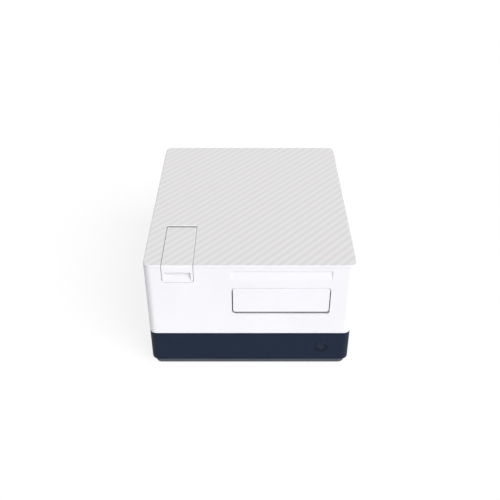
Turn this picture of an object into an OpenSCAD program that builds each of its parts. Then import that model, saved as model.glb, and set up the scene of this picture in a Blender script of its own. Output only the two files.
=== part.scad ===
// Bench microplate reader with a front plate door and a corner cuvette port.
// Millimetres. X to the right, Y to the back, Z up.
// The origin is the middle of the footprint, on the bench.

/* [Case] */
// Width of the case
case_w = 300; // [296:1:340]
// Depth of the case
case_d = 357; // [352:1:400]
// Radius of the upright corners of the case
corner_r = 11; // [9:0.5:16]
// Thickness of the moulded case walls
wall = 3; // [2.5:0.1:3.5]
// Height of the rubber feet below the plinth
foot_h = 2; // [1:0.5:6]
// Radius of a rubber foot
foot_r = 9; // [6:0.5:12]
// Height of the grey plinth under the navy band
plinth_h = 10.2; // [9:0.1:14]
// Distance that the plinth stands back from the band
plinth_inset = 5; // [3:0.5:5.5]
// Radius of the corners of the plinth
plinth_r = 9; // [7:0.5:12]
// Height of the navy band
band_h = 53.6; // [52:0.1:60]
// Height of the white upper housing
shell_h = 122.2; // [120:0.1:140]
// Thickness of the top cover
cover_t = 2.3; // [2:0.1:3]
// Thickness of the striped film on the top
film_t = 0.3; // [0.2:0.05:0.5]
// Distance that the film stands back from the edge of the cover
film_inset = 1.2; // [0.4:0.1:3]
// Radius of the rounded outer edges of the case
edge_r = 1; // [0.4:0.1:1.1]
// Height of the shadow gap between the navy band and the upper housing
shadow_h = 0.9; // [0.4:0.1:1.5]
// Depth of the shadow gap
shadow_d = 0.8; // [0.4:0.1:1.2]

/* [Plate door] */
// Distance of the middle of the plate door from the right side of the case
door_in = 105.2; // [103:0.1:108]
// Width of the door opening
door_open_w = 142; // [140:0.5:150]
// Height of the door opening
door_open_h = 48.6; // [45:0.1:52]
// Height of the bottom of the door opening above the bottom of the upper housing
door_open_z = 36.8; // [36:0.1:41]
// Gap at the sides of the door
door_side_gap = 1.5; // [1:0.1:2]
// Gap above the door
door_top_gap = 1; // [0.9:0.1:1.5]
// Gap below the door
door_bottom_gap = 4.4; // [2:0.1:5]
// Thickness of the door
door_t = 5; // [4:0.2:6]
// Distance of the hinge axis below the top of the door
door_axis_drop = 5; // [4.6:0.1:6]
// Radius of the corners of the door
door_corner_r = 3.6; // [2.6:0.2:5]
// Radius of the rounded edges of the door
door_edge_r = 0.6; // [0.3:0.1:1]
// Radius of the door's hinge pins
door_pin_r = 1; // [0.8:0.1:1.2]
// Depth of the moulded rim behind the door opening
rim_depth = 9; // [8:0.5:10]

/* [Status recess] */
// Width of the ramped recess above the door
scoop_w = 143; // [100:1:146]
// Height of the ramped recess above the door
scoop_h = 16.2; // [10:0.1:18]
// Distance of the top of the recess below the top of the case
scoop_drop = 9.4; // [8:0.1:14]
// Depth of the recess at its top edge
scoop_depth = 1.5; // [0.8:0.1:1.8]

/* [Cuvette lid] */
// Distance of the middle of the cuvette lid from the left side of the case
lid_in = 48; // [46:0.5:52]
// Width of the opening for the lid
lid_open_w = 45.5; // [43:0.1:48]
// Depth of the opening for the lid, from the front of the case
lid_open_d = 100; // [98:0.5:104]
// Gap at the sides of the lid, and below its front
lid_gap = 0.7; // [0.6:0.1:1.2]
// Height of the front of the lid
lid_front_h = 29; // [28:0.5:36]
// Thickness of the lid
lid_t = 2.7; // [2.4:0.1:3]
// Radius of the corners of the lid
lid_corner_r = 4; // [2:0.5:6]
// Radius of the rounded edges of the lid
lid_edge_r = 0.4; // [0.2:0.1:0.5]
// Width of the strip behind the lid that the film leaves bare
lid_bare = 2.4; // [1:0.2:4]
// Width of the finger pocket in the front of the lid
pocket_w = 37; // [28:0.5:38]
// Height of the finger pocket
pocket_h = 15; // [10:0.5:15.5]
// Distance of the top of the pocket below the top of the case
pocket_drop = 12; // [11:0.1:12.4]
// Depth of the pocket at its top edge
pocket_depth = 5; // [3:0.1:5.5]
// Distance of the hinge axis in front of the back edge of the lid
lid_axis_in = 4; // [3.6:0.1:5]
// Distance of the hinge axis below the top of the case
lid_axis_drop = 4.6; // [4.5:0.1:5]
// Radius of the lid's hinge pins
lid_pin_r = 1.2; // [1:0.1:1.4]

/* [Cuvette bay] */
// Thickness of the walls of the cuvette bay
bay_wall = 3; // [2.5:0.1:3.5]
// Depth of the bay below the top of the case
bay_depth = 58; // [54:1:62]
// Side of the square well for a cuvette
cuvette_w = 12.6; // [12.5:0.1:13]
// Side of the cuvette holder block
holder_w = 30; // [24:1:32]
// Height of the cuvette holder block
holder_h = 38; // [34:1:40]
// Thickness of the foam seal under the lid
seal_t = 1.6; // [1:0.1:2]

/* [Power button] */
// Distance of the middle of the power button from the right side of the case
button_in = 42.4; // [38:0.2:55]
// Height of the power button above the bottom of the band
button_z = 25.3; // [22:0.1:30]
// Radius of the power button
button_r = 9.8; // [7:0.1:12]
// Gap round the power button
button_gap = 0.5; // [0.3:0.1:0.6]
// Travel of the power button
button_travel = 1.5; // [1:0.1:2]
// Radius of the dish in the face of the power button
dish_r = 42; // [36:1:80]
// Radius of the rounded edge of the power button
button_edge_r = 0.4; // [0.2:0.1:0.8]

/* [Deck] */
// Height of the top of the chassis deck above the bottom of the upper housing
deck_z = 24.2; // [23:0.1:26]
// Thickness of the chassis deck
deck_t = 2; // [1.5:0.1:3]
// Gap between the deck and the case walls
deck_gap = 3; // [2:0.5:5]
// Radius of the posts under the deck
post_r = 5; // [4:0.5:6]

/* [Plate transport] */
// Width of the plate carrier
carrier_w = 132; // [131:0.5:134]
// Length of a standard microplate
plate_l = 127.76; // [127:0.01:128]
// Width of a standard microplate
plate_w = 85.48; // [85:0.01:86]
// Clearance round the microplate in its nest
plate_clear = 0.5; // [0.3:0.1:0.8]
// Height of a standard microplate
plate_h = 14.35; // [14:0.05:20]
// Height of the underside of the carrier above the deck
carrier_z = 22; // [21.5:0.1:24]
// Thickness of the floor of the carrier
carrier_t = 3; // [2.5:0.1:4]
// Height of the rims round the plate nest
nest_rim_h = 5; // [3:0.5:6]
// Width of the ledge that the microplate stands on
nest_ledge = 6; // [4:0.5:8]
// Length of the arms behind the plate nest
arm_l = 52; // [50:0.5:54]
// Radius of the guide rods
rod_r = 3; // [2.5:0.1:3.5]
// Distance of the guide rods from the middle of the carrier
rod_off = 63.5; // [63:0.1:64.5]
// Height of the guide rods above the deck
rod_z = 14; // [13:0.1:15]
// Length of the slide bushes
bush_l = 24; // [18:1:26]
// Distance of the drive belt from the middle of the carrier
belt_off = 80; // [79.5:0.1:81]
// Radius of a belt pulley
pulley_r = 6; // [5.5:0.1:6.3]
// Thickness of the belts
belt_t = 1.4; // [1:0.1:1.6]
// Width of the belts
belt_w = 6; // [5:0.5:7]

/* [Scan head] */
// Travel of the scan head to each side of the middle
scan_travel = 49.5; // [40:0.5:50]
// Width of the scan arms
arm_w = 10; // [8:0.5:11]
// Height of the scan arms
arm_h = 8; // [6:0.5:9]
// Height of the scan rail above the deck
rail_z = 34; // [33:0.5:35]
// Distance of the wall that carries the scan rail from the back of the case
rail_back = 69.4; // [66:0.2:70.8]
// Height of the scan belt pulleys above the deck
scan_belt_z = 56; // [55.5:0.5:58]

/* [Motors] */
// Side of a stepper motor
motor_w = 35; // [32:1:37]
// Length of a stepper motor
motor_l = 34; // [28:1:36]
// Radius of a motor shaft
shaft_r = 2.5; // [2:0.1:3]
// Length of a motor shaft inside the motor
shaft_in = 16; // [12:1:20]

/* [Optics] */
// Width of the monochromator
mono_w = 80; // [76:1:84]
// Length of the monochromator
mono_d = 116; // [100:1:118]
// Height of the monochromator body
mono_h = 40; // [38:1:42]
// Thickness of the walls of the monochromator
mono_wall = 4; // [3:0.5:5]
// Radius of the filter wheel
wheel_r = 30; // [29:0.5:32]
// Number of filters in the wheel
wheel_filters = 6; // [4:1:8]
// Radius of a filter
filter_r = 5.5; // [4:0.5:6]
// Side of the filter wheel's motor
wheel_motor_w = 28; // [25:1:29]
// Number of fins on the lamp housing
lamp_fins = 9; // [6:1:11]

/* [Rear] */
// Side of the cooling fan
fan_w = 40; // [36:1:41]
// Depth of the cooling fan
fan_d = 15; // [12:1:20]
// Number of blades of the fan
fan_blades = 7; // [5:2:9]
// Number of slots in each vent of the case
vent_n = 9; // [5:1:10]

/* [Hidden] */
$fn = 48;

white = "#f4f4f6";
film_grey = "#dcdde0";
navy = "#28303f";
graphite = "#565a62";
black = "#1d1e21";
steel = "#b9bcc2";
alloy = "#9da1a8";
bronze = "#a9823f";
board_green = "#2f5d46";

eps = 0.01;
slip = 0.3;          // gap between pieces that move past each other
run = 0.05;          // radial clearance of a shaft in its bore

// Case
front = -case_d / 2;
back = case_d / 2;
band_z0 = foot_h + plinth_h;
shell_z0 = band_z0 + band_h;
cover_z0 = shell_z0 + shell_h;
film_z0 = cover_z0 + cover_t;
top_z = film_z0 + film_t;
pan_floor = 3;
pan_z = foot_h + pan_floor;
flange_w = plinth_inset + wall;
flange_t = 2.5;
lip_t = 2;
lip_h = 3;
seam_h = 0.4;
seam_d = 0.5;
boss_r = 6;
boss_inset = 12;
shell_boss_h = 18;
screw_r = 1.9;
screw_head_r = 3.6;
screw_head_h = 3;
screw_top = shell_z0 + 14;
foot_inset = 36;
foot_stem_r = 2.5;
post_inset_x = 32;
post_inset_y = 46;
mid_post = [-12, 20];
vent_pitch = 7;
vent_w = 3.2;
vent_l = 40;
vent_lift = 20;      // case vents above the deck
pan_vent_at = [55, 40];

// Rear window, its panel and what the panel carries
window_w = 224;
window_h = 39;
window_z = band_z0 + 6;
panel_t = 1.5;
panel_edge = 2;
panel_y = back - wall - panel_t;
panel_mid_z = window_z + window_h / 2;
inlet_x = -80;
usb_x = -20;
fan_x = 70;
inlet_flange = [48, 29];
inlet_body = [28, 21];
inlet_socket = [24, 17];
inlet_l = 24;
usb_body = [14, 13];
usb_port = [9, 8.2];
usb_l = 18;
fan_hub_r = fan_w * 0.22;
fan_sweep_r = fan_w * 0.45;

// Door
door_x = case_w / 2 - door_in;
open_z0 = shell_z0 + door_open_z;
open_z1 = open_z0 + door_open_h;
door_w = door_open_w - 2 * door_side_gap;
door_h = door_open_h - door_top_gap - door_bottom_gap;
door_z0 = open_z0 + door_bottom_gap;
door_axis_y = front + door_t / 2;
door_axis_z = door_z0 + door_h - door_axis_drop;
door_sweep_r = norm([door_axis_drop, door_t / 2]);
door_pin_in = 8;
door_pin_out = 4;
rim_t = 2.5;
sill_h = 3;
sill_lip_h = 1.2;
lug_w = 8;
lug_h = 8;

// Lid
lid_x = lid_in - case_w / 2;
lid_w = lid_open_w - 2 * lid_gap;
lid_rear_gap = norm([lid_axis_in, lid_axis_drop]) - lid_axis_in + slip;
lid_y1 = front + lid_open_d - lid_rear_gap;
lid_axis_y = lid_y1 - lid_axis_in;
lid_axis_z = top_z - lid_axis_drop;
lid_z0 = top_z - lid_front_h;
lid_rear_r = 1;
ear_w = 5;
ear_r = 3;
lid_pin_l = 2;
pocket_wall = 1.8;

// Cuvette bay
bay_y0 = front + pocket_depth + pocket_wall + 1.2;
bay_y1 = front + lid_open_d + bay_wall;
bay_z0 = top_z - bay_depth;
bay_w = lid_open_w + 2 * bay_wall;
rib_y = bay_y1 + 15.5;
rib_pitch = 60;
rib_half = case_w / 2 - wall - 8;
ledge_w = 3;
ledge_t = 2;
ledge_z = film_z0 - lid_t - slip - seal_t;
ledge_y1 = lid_axis_y - ear_r - 4;
holder_y = (bay_y0 + bay_y1) / 2;
beam_z = bay_z0 + bay_wall + 20;
fibre_r = 2.5;
fibre_bend = 12;

// Button
button_x = case_w / 2 - button_in;
button_y = band_z0 + button_z;
button_hole_r = button_r + button_gap;
collar_l = 6;
collar_y1 = front + wall + collar_l;
button_flange = 1.4;
button_l = wall + collar_l + slip + button_flange;
switch_y = front + button_l + button_travel + slip;

// Deck
deck_top = shell_z0 + deck_z;
deck_bottom = deck_top - deck_t;
deck_slot = [12, 70];
deck_slot_pitch = 22;
deck_slot_in = 30;   // middle of the slots behind the nose of the carrier
cable_slot = [26, 40];
cable_slot_at = [-30, back - 60];

// Plate transport
nest_rim = (carrier_w - plate_l) / 2 - plate_clear;
nest_back_rim = 5;
nest_l = plate_w + 2 * plate_clear + nest_rim + nest_back_rim;
rail_wall_y = back - rail_back;
rail_d = 9;
rail_y0 = rail_wall_y - rail_d;
carriage_lead = 10;
carriage_y0 = rail_y0 - carriage_lead;
spine_t = 8;
scan_y0 = carriage_y0 - spine_t;
scan_gap = 13;
carrier_rear = scan_y0 - scan_gap;
nest_y1 = carrier_rear - arm_l;
nose_y = nest_y1 - nest_l;
carrier_under = deck_top + carrier_z;
carrier_top = carrier_under + carrier_t;
arm_strip = 18;
bush_wall = 2;
bush_r = rod_r + bush_wall;
housing_half = bush_r + 1.5;
rod_axis_z = deck_top + rod_z;
rod_y0 = front + 12;
rod_y1 = carrier_rear + 12;
block_l = 10;
block_half = 7.5;
tray_clear = 1;

// Belts
flange_over = 1.5;
pulley_flange_t = 1;
belt_in = pulley_r + slip;
tray_belt_x = door_x + belt_off;
tray_idler_y = front + 20;
tray_pulley_y = carrier_rear + 12.5;
idler_post_r = 2;
post_foot_r = 5;

// Scan head
carriage_l = 46;
carriage_d = 16;
carriage_h = 24;
rail_h = 12;
rail_waist = 1.5;
rail_wall_t = 3;
rail_wall_half = 98;
rail_wall_h = 78;
rail_axis_z = deck_top + rail_z;
scan_pulley_off = 80;
scan_belt_axis_z = deck_top + scan_belt_z;
scan_belt_y = carriage_y0 + 7.5;
lower_arm_z = deck_top + 8;
plate_top = carrier_top + plate_h;
upper_arm_z = plate_top + 8;
scan_line_y = nose_y + nest_rim + plate_clear + 11.24;
arm_tip_y = scan_line_y - 9;

// Optics, in one row from the monochromator back to the lamp, centred between bay and rear wall
mono_side = 7;
mono_x0 = mono_side + wall - case_w / 2;
mono_x = mono_x0 + mono_w / 2;
optic_x = (wall - case_w / 2 + door_x - rail_wall_half) / 2;
wheel_gap = 6;
wheel_t = 4;
bracket_gap = 4;
bracket_t = 3;
wheel_motor_l = 28;
lamp_gap = 5;
lamp_size = [60, 46, 50];
optics_l = mono_d + wheel_gap + wheel_t + bracket_gap + bracket_t + wheel_motor_l + lamp_gap
    + lamp_size[1];
mono_y0 = (bay_y1 + back - wall - optics_l) / 2;
mono_y1 = mono_y0 + mono_d;
mono_cover_t = 3;
mono_corner_r = 5;
grating_y = mono_y0 + 48;
grating_r = 15;
grating_h = 22;
optic_z = deck_top + 22;
wheel_y = mono_y1 + wheel_gap;
filter_ring_r = wheel_r - filter_r - 2.5;
wheel_z = optic_z + filter_ring_r;
bracket_y = wheel_y + wheel_t + bracket_gap;
lamp_y = bracket_y + bracket_t + wheel_motor_l + lamp_gap;
tube_r = 5;

// Electronics
psu_size = [70, 100, 38];
psu_in = [45, 38.5];   // from the left side and from the back of the case
psu_at = [psu_in[0] - case_w / 2, back - psu_in[1] - psu_size[1]];
board_lift = 5;
board_t = 1.6;
board_low = [3, -38];
board_high = [107, 118];
board_post_in = 8;

// ---------------------------------------------------------------- shapes used throughout

// Rounded rectangle, centred, with true arcs.
module rounded(w, d, r) {
    square([w - 2 * r, d], center = true);
    square([w, d - 2 * r], center = true);
    for (x = [-1, 1], y = [-1, 1])
        translate([x * (w / 2 - r), y * (d / 2 - r)]) circle(r);
}

module slab(w, d, h, r, z) {
    translate([0, 0, z]) linear_extrude(h) rounded(w, d, r);
}

// The outline of the case, drawn in by inset, from height z.
module outline_slab(inset, h, z, r) {
    slab(case_w - 2 * inset, case_d - 2 * inset, h, r, z);
}

// A block from its low corner to its high corner.
module block(low, high) {
    translate(low) cube(high - low);
}

// Cylinders along each axis, from a starting point.
module rod_x(p, r, l) {
    translate(p) rotate([0, 90, 0]) cylinder(r = r, h = l);
}
module rod_y(p, r, l) {
    translate(p) rotate([-90, 0, 0]) cylinder(r = r, h = l);
}
module rod_z(p, r, l) {
    translate(p) cylinder(r = r, h = l);
}

// A rounded panel that stands across the depth axis: middle x, front y, low z, width,
// thickness, height and corner radius.
module upright(x, y, z, w, t, h, r) {
    translate([x, y + t, z + h / 2]) rotate([90, 0, 0]) linear_extrude(t) rounded(w, h, r);
}

// What a fillet of radius r takes off a corner, with the centre of the fillet at the origin.
module spandrel(r) {
    difference() {
        square(r + 1);
        circle(r);
    }
}

// Cuts a fillet round the top edge of a slab w by d with corner radius c, its top face at z = 0.
module round_edge(w, d, c, r) {
    x = w / 2 - c;
    y = d / 2 - c;
    for (i = [0 : 3])
        rotate([0, 0, 90 * i]) translate([i % 2 == 0 ? x : y, i % 2 == 0 ? y : x, 0]) {
            rotate_extrude(angle = 90) translate([c - r, -r]) spandrel(r);
            rotate([90, 0, 0]) linear_extrude(i % 2 == 0 ? 2 * y : 2 * x) translate([c - r, -r])
                spandrel(r);
        }
}

// The same on the front face of an upright piece, which stands on z.
module round_front(x, z, w, h, c, r) {
    translate([x, front, z + h / 2]) rotate([90, 0, 0]) round_edge(w, h, c, r);
}

// A wedge cut that is deepest at its top edge and runs out at its bottom edge.
module ramp(x, w, z_top, h, depth) {
    translate([x - w / 2, 0, 0]) rotate([90, 0, 90]) linear_extrude(w)
        polygon([[front - 1, z_top], [front + depth, z_top], [front, z_top - h],
            [front - 1, z_top - h]]);
}

module at_corners(inset_x, inset_y) {
    for (x = [-1, 1], y = [-1, 1])
        translate([x * (case_w / 2 - inset_x), y * (case_d / 2 - inset_y), 0]) children();
}

// A row of upright slots, cut through along the depth axis.
module slot_row(x, y, z, n, l, depth) {
    for (i = [0 : n - 1])
        upright(x + (i - (n - 1) / 2) * vent_pitch, y, z, vent_w, depth, l, vent_w / 2 - eps);
}

// A toothed pulley with two flanges, its axis on Z, its belt track centred on z = 0.
module pulley(bore) {
    track = belt_w + 0.6;
    difference() {
        union() {
            rod_z([0, 0, -track / 2], pulley_r - 0.5, track);
            for (z = [-1, 1])
                translate([0, 0, z * (track + pulley_flange_t) / 2])
                    cylinder(r = pulley_r + flange_over, h = pulley_flange_t, center = true);
            for (i = [0 : 11])
                rotate([0, 0, i * 30]) translate([pulley_r - 0.9, 0, 0])
                    cube([1.8, 1.4, track], center = true);
        }
        translate([0, 0, -track]) cylinder(r = bore, h = 2 * track);
    }
}
pulley_half = (belt_w + 0.6) / 2 + pulley_flange_t;

// A closed belt round two pulleys that lie l apart along X, its width on Z.
module belt(l) {
    difference() {
        union() {
            for (x = [0, l]) rod_z([x, 0, -belt_w / 2], belt_in + belt_t, belt_w);
            block([0, -belt_in - belt_t, -belt_w / 2], [l, belt_in + belt_t, belt_w / 2]);
        }
        for (x = [0, l]) rod_z([x, 0, -belt_w], belt_in, 2 * belt_w);
        block([0, -belt_in, -belt_w], [l, belt_in, belt_w]);
    }
}

// A stepper motor whose mounting face is z = 0 and whose body hangs below it.
module stepper(w, l) {
    cap = 7;
    difference() {
        union() {
            for (z = [-l, -cap])
                translate([0, 0, z]) linear_extrude(cap) chamfered(w, 3);
            translate([0, 0, -l]) linear_extrude(l) chamfered(w - 1.6, 5);
        }
        rod_z([0, 0, -l + 4], shaft_r + run, l);
        for (x = [-1, 1], y = [-1, 1])
            rod_z([x * w * 0.37, y * w * 0.37, -5], 1.5, 6);
    }
}

module chamfered(w, c) {
    h = w / 2;
    polygon([[-h, c - h], [c - h, -h], [h - c, -h], [h, c - h], [h, h - c], [h - c, h], [c - h, h],
        [-h, h - c]]);
}

// ---------------------------------------------------------------- case

module base_pan() {
    color(graphite) difference() {
        union() {
            difference() {
                outline_slab(plinth_inset, plinth_h, foot_h, plinth_r);
                outline_slab(flange_w, plinth_h, pan_z, plinth_r - 2);
            }
            at_corners(boss_inset, boss_inset) rod_z([0, 0, foot_h], boss_r, plinth_h);
            board_corners() rod_z([0, 0, pan_z - eps], 3, board_lift + eps);
        }
        at_corners(boss_inset, boss_inset) {
            rod_z([0, 0, foot_h - eps], screw_r + slip, plinth_h + 2 * eps);
            rod_z([0, 0, foot_h - eps], screw_head_r + slip, screw_head_h + eps);
        }
        at_corners(foot_inset, foot_inset)
            rod_z([0, 0, foot_h - eps], foot_stem_r, pan_floor + 2 * eps);
        for (i = [0 : vent_n - 1])
            translate([pan_vent_at[0] + (i - (vent_n - 1) / 2) * vent_pitch, pan_vent_at[1],
                foot_h - eps])
                linear_extrude(pan_floor + 2 * eps) rounded(vent_w, vent_l, vent_w / 2 - eps);
    }
}

module board_corners() {
    for (x = [board_low[0] + board_post_in, board_high[0] - board_post_in],
         y = [board_low[1] + board_post_in, board_high[1] - board_post_in])
        translate([x, y, 0]) children();
}

// Ribs from a corner boss to the two walls beside it.
module boss_ribs(z, h) {
    reach = boss_inset - wall / 2;
    for (x = [-1, 1], y = [-1, 1])
        translate([x * (case_w / 2 - boss_inset), y * (case_d / 2 - boss_inset), z]) {
            translate([(x - 1) * reach / 2, -1, 0]) cube([reach, 2, h]);
            translate([-1, (y - 1) * reach / 2, 0]) cube([2, reach, h]);
        }
}

module lower_band() {
    color(navy) difference() {
        union() {
            difference() {
                outline_slab(0, band_h, band_z0, corner_r);
                outline_slab(wall, band_h, band_z0 + flange_t, corner_r - wall);
                outline_slab(flange_w, band_h, band_z0 - 1, plinth_r - 2);
            }
            // Thickened top edge and the lip on it that enters the upper housing.
            difference() {
                union() {
                    outline_slab(wall - eps, lip_h, shell_z0 - lip_h, corner_r - wall);
                    outline_slab(wall + slip, 2 * lip_h, shell_z0 - lip_h, corner_r - wall - slip);
                }
                outline_slab(wall + lip_t, 3 * lip_h, shell_z0 - 1.5 * lip_h,
                    corner_r - wall - lip_t);
            }
            at_corners(boss_inset, boss_inset) rod_z([0, 0, band_z0], boss_r, band_h);
            boss_ribs(band_z0, band_h);
            rod_y([button_x, front + wall - eps, button_y], button_hole_r + 2, collar_l + eps);
        }
        at_corners(boss_inset, boss_inset)
            rod_z([0, 0, band_z0 - eps], screw_r + slip, band_h + 2 * eps);
        rod_y([button_x, front - eps, button_y], button_hole_r, wall + collar_l + 1);
        upright(0, back - wall - 1, window_z, window_w, wall + 2, window_h, 3);
        translate([0, 0, band_z0]) mirror([0, 0, 1]) round_edge(case_w, case_d, corner_r, edge_r);
        // Shadow gap under the upper housing.
        difference() {
            outline_slab(-1, shadow_h + 1, shell_z0 - shadow_h, corner_r);
            outline_slab(shadow_d, shadow_h + 3, shell_z0 - shadow_h - 1, corner_r - shadow_d);
        }
    }
}

module upper_housing() {
    color(white) difference() {
        union() {
            difference() {
                outline_slab(0, shell_h, shell_z0, corner_r);
                outline_slab(wall, shell_h + 2, shell_z0 - 1, corner_r - wall);
            }
            at_corners(boss_inset, boss_inset) rod_z([0, 0, shell_z0], boss_r, shell_boss_h);
            boss_ribs(shell_z0 + lip_h + slip, shell_boss_h - lip_h - slip);
            // Rim behind the door opening, with a lug at each end of the hinge.
            upright(door_x, front + wall - eps, open_z0 - rim_t, door_open_w + 2 * rim_t,
                rim_depth - wall, door_open_h + 2 * rim_t, door_corner_r + rim_t);
            for (x = [-1, 1])
                block([door_x + x * (door_open_w + lug_w) / 2 - lug_w / 2, front + wall - eps,
                    door_axis_z - lug_h / 2],
                    [door_x + x * (door_open_w + lug_w) / 2 + lug_w / 2, front + rim_depth,
                        door_axis_z + lug_h / 2]);
            // Fillet ribs that stiffen the upper rim of the door opening.
            for (x = [-2 : 2])
                block([door_x + x * 30 - 1, front + wall - eps, open_z1 + rim_t - eps],
                    [door_x + x * 30 + 1, front + rim_depth - 2, open_z1 + rim_t + 8]);
        }
        at_corners(boss_inset, boss_inset)
            rod_z([0, 0, shell_z0 - eps], screw_r, screw_top - shell_z0 + 1);
        // Door opening and hinge bores.
        upright(door_x, front - 1, open_z0, door_open_w, rim_depth + 3, door_open_h,
            door_corner_r + door_side_gap);
        rod_x([door_x - door_w / 2 - door_side_gap - door_pin_out - 1, door_axis_y, door_axis_z],
            door_pin_r + run, door_open_w + 2 * door_pin_out + 2);
        // Opening for the front of the lid.
        upright(lid_x, front - 1, lid_z0 - lid_gap, lid_open_w, wall + 2, lid_front_h + 20,
            lid_corner_r + lid_gap);
        ramp(door_x, scoop_w, top_z - scoop_drop, scoop_h, scoop_depth);
        // Shadow line under the top cover.
        difference() {
            outline_slab(-1, seam_h + 1, cover_z0 - seam_h, corner_r);
            outline_slab(seam_d, seam_h + 2, cover_z0 - seam_h - 1, corner_r - seam_d);
        }
        for (x = [optic_x, fan_x])
            slot_row(x, back - wall - 1, deck_top + vent_lift, vent_n, vent_l, wall + 2);
    }
}

// The opening for the lid in what lies on top of the case, longer at the back by what is left bare.
module lid_cut(z, h, bare) {
    r = 2;
    slot_l = lid_open_d + bare + 20;
    translate([lid_x, front + lid_open_d + bare - slot_l / 2, z]) linear_extrude(h)
        rounded(lid_open_w, slot_l, r);
}

module top_cover() {
    color(white) difference() {
        union() {
            outline_slab(0, cover_t, cover_z0, corner_r);
            // Lip that locates the cover inside the walls, broken round the lid.
            difference() {
                outline_slab(wall + slip, lip_h, cover_z0 - lip_h, corner_r - wall - slip);
                outline_slab(wall + slip + lip_t, 2 * lip_h, cover_z0 - 1.5 * lip_h,
                    corner_r - wall - slip - lip_t);
                block([lid_x - bay_w / 2 - 3, front, cover_z0 - 2 * lip_h],
                    [lid_x + bay_w / 2 + 3, bay_y0, cover_z0]);
            }
            // Stiffening ribs across the span behind the bay.
            for (i = [0 : 2])
                block([-rib_half, rib_y + i * rib_pitch - 1, cover_z0 - 6],
                    [rib_half, rib_y + i * rib_pitch + 1, cover_z0]);
        }
        lid_cut(cover_z0 - 10, cover_t + 20, 0);
        translate([0, 0, film_z0]) round_edge(case_w, case_d, corner_r, edge_r);
    }
}

module top_film() {
    color(film_grey) difference() {
        outline_slab(film_inset, film_t, film_z0, corner_r - film_inset);
        lid_cut(film_z0 - 1, film_t + 2, lid_bare);
    }
}

module feet() {
    color(black) at_corners(foot_inset, foot_inset) {
        cylinder(r1 = foot_r - foot_h * 0.3, r2 = foot_r, h = foot_h);
        rod_z([0, 0, foot_h - eps], foot_stem_r, pan_floor + 2 * eps);
        rod_z([0, 0, pan_z], foot_stem_r + 1.2, 1.5);
    }
}

module case_screws() {
    color(steel) at_corners(boss_inset, boss_inset) difference() {
        union() {
            rod_z([0, 0, foot_h], screw_head_r, screw_head_h);
            rod_z([0, 0, foot_h + screw_head_h - eps], screw_r, screw_top - foot_h - screw_head_h);
        }
        translate([0, 0, foot_h - eps]) cylinder(r = 1.8, h = 2, $fn = 6);
    }
}

// ---------------------------------------------------------------- rear

module rear_panel() {
    color(steel) difference() {
        upright(0, panel_y, window_z - panel_edge, window_w + 2 * panel_edge, panel_t,
            window_h + 2 * panel_edge, 3);
        upright(inlet_x, panel_y - 1, panel_mid_z - inlet_body[1] / 2 - slip,
            inlet_body[0] + 2 * slip, panel_t + 2, inlet_body[1] + 2 * slip, 1);
        upright(usb_x, panel_y - 1, panel_mid_z - usb_body[1] / 2 - slip, usb_body[0] + 2 * slip,
            panel_t + 2, usb_body[1] + 2 * slip, 0.5);
        rod_y([fan_x, panel_y - 1, panel_mid_z], fan_sweep_r + 1, panel_t + 2);
        for (i = [0 : 7]) rod_y([10 + i * 4, panel_y - 1, panel_mid_z], 1.2, panel_t + 2);
    }
}

module power_inlet() {
    color(black) difference() {
        union() {
            upright(inlet_x, panel_y + panel_t, panel_mid_z - inlet_flange[1] / 2, inlet_flange[0],
                2, inlet_flange[1], 3);
            upright(inlet_x, panel_y + panel_t - inlet_l + eps, panel_mid_z - inlet_body[1] / 2,
                inlet_body[0], inlet_l, inlet_body[1], 2);
        }
        upright(inlet_x, panel_y + panel_t - inlet_l + 4, panel_mid_z - inlet_socket[1] / 2,
            inlet_socket[0], inlet_l, inlet_socket[1], 3);
    }
}

module inlet_blades() {
    blade = [2, 16, 4];
    base_y = panel_y + panel_t - inlet_l + 4;
    color(steel) for (p = [[-7, -2], [0, 2], [7, -2]])
        block([inlet_x + p[0] - blade[0] / 2, base_y, panel_mid_z + p[1] - blade[2] / 2],
            [inlet_x + p[0] + blade[0] / 2, base_y + blade[1], panel_mid_z + p[1] + blade[2] / 2]);
}

module usb_socket() {
    depth = usb_l - 3;
    color(steel) difference() {
        union() {
            upright(usb_x, panel_y + panel_t, panel_mid_z - usb_body[1] / 2 - 1.5, usb_body[0] + 3,
                1, usb_body[1] + 3, 1);
            upright(usb_x, panel_y + panel_t - usb_l + eps, panel_mid_z - usb_body[1] / 2,
                usb_body[0], usb_l, usb_body[1], 0.5);
        }
        difference() {
            upright(usb_x, panel_y + panel_t - depth, panel_mid_z - usb_port[1] / 2, usb_port[0],
                depth + 5, usb_port[1], 1);
            upright(usb_x, panel_y - usb_l, panel_mid_z - 1.6, 5.6, usb_l - 2, 3.2, 0.3);
        }
    }
}

module fan_frame() {
    y0 = panel_y - fan_d;
    color(black) difference() {
        union() {
            difference() {
                upright(fan_x, y0, panel_mid_z - fan_w / 2, fan_w, fan_d, fan_w, 4);
                rod_y([fan_x, y0 - 1, panel_mid_z], fan_sweep_r + 0.6, fan_d + 2);
            }
            // Motor seat and the four struts that hold it.
            rod_y([fan_x, y0, panel_mid_z], fan_hub_r, 3);
            intersection() {
                rod_y([fan_x, y0, panel_mid_z], fan_sweep_r + 1.2, 2);
                for (a = [45, 135])
                    translate([fan_x, y0 + 1, panel_mid_z]) rotate([0, a, 0])
                        cube([fan_w * 1.2, 2, 2.4], center = true);
            }
        }
        rod_y([fan_x, y0 - 1, panel_mid_z], 1.5 + run, 5);
        for (x = [-1, 1], z = [-1, 1])
            rod_y([fan_x + x * fan_w * 0.4, y0 - 1, panel_mid_z + z * fan_w * 0.4], 1.6, fan_d + 2);
    }
}

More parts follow.
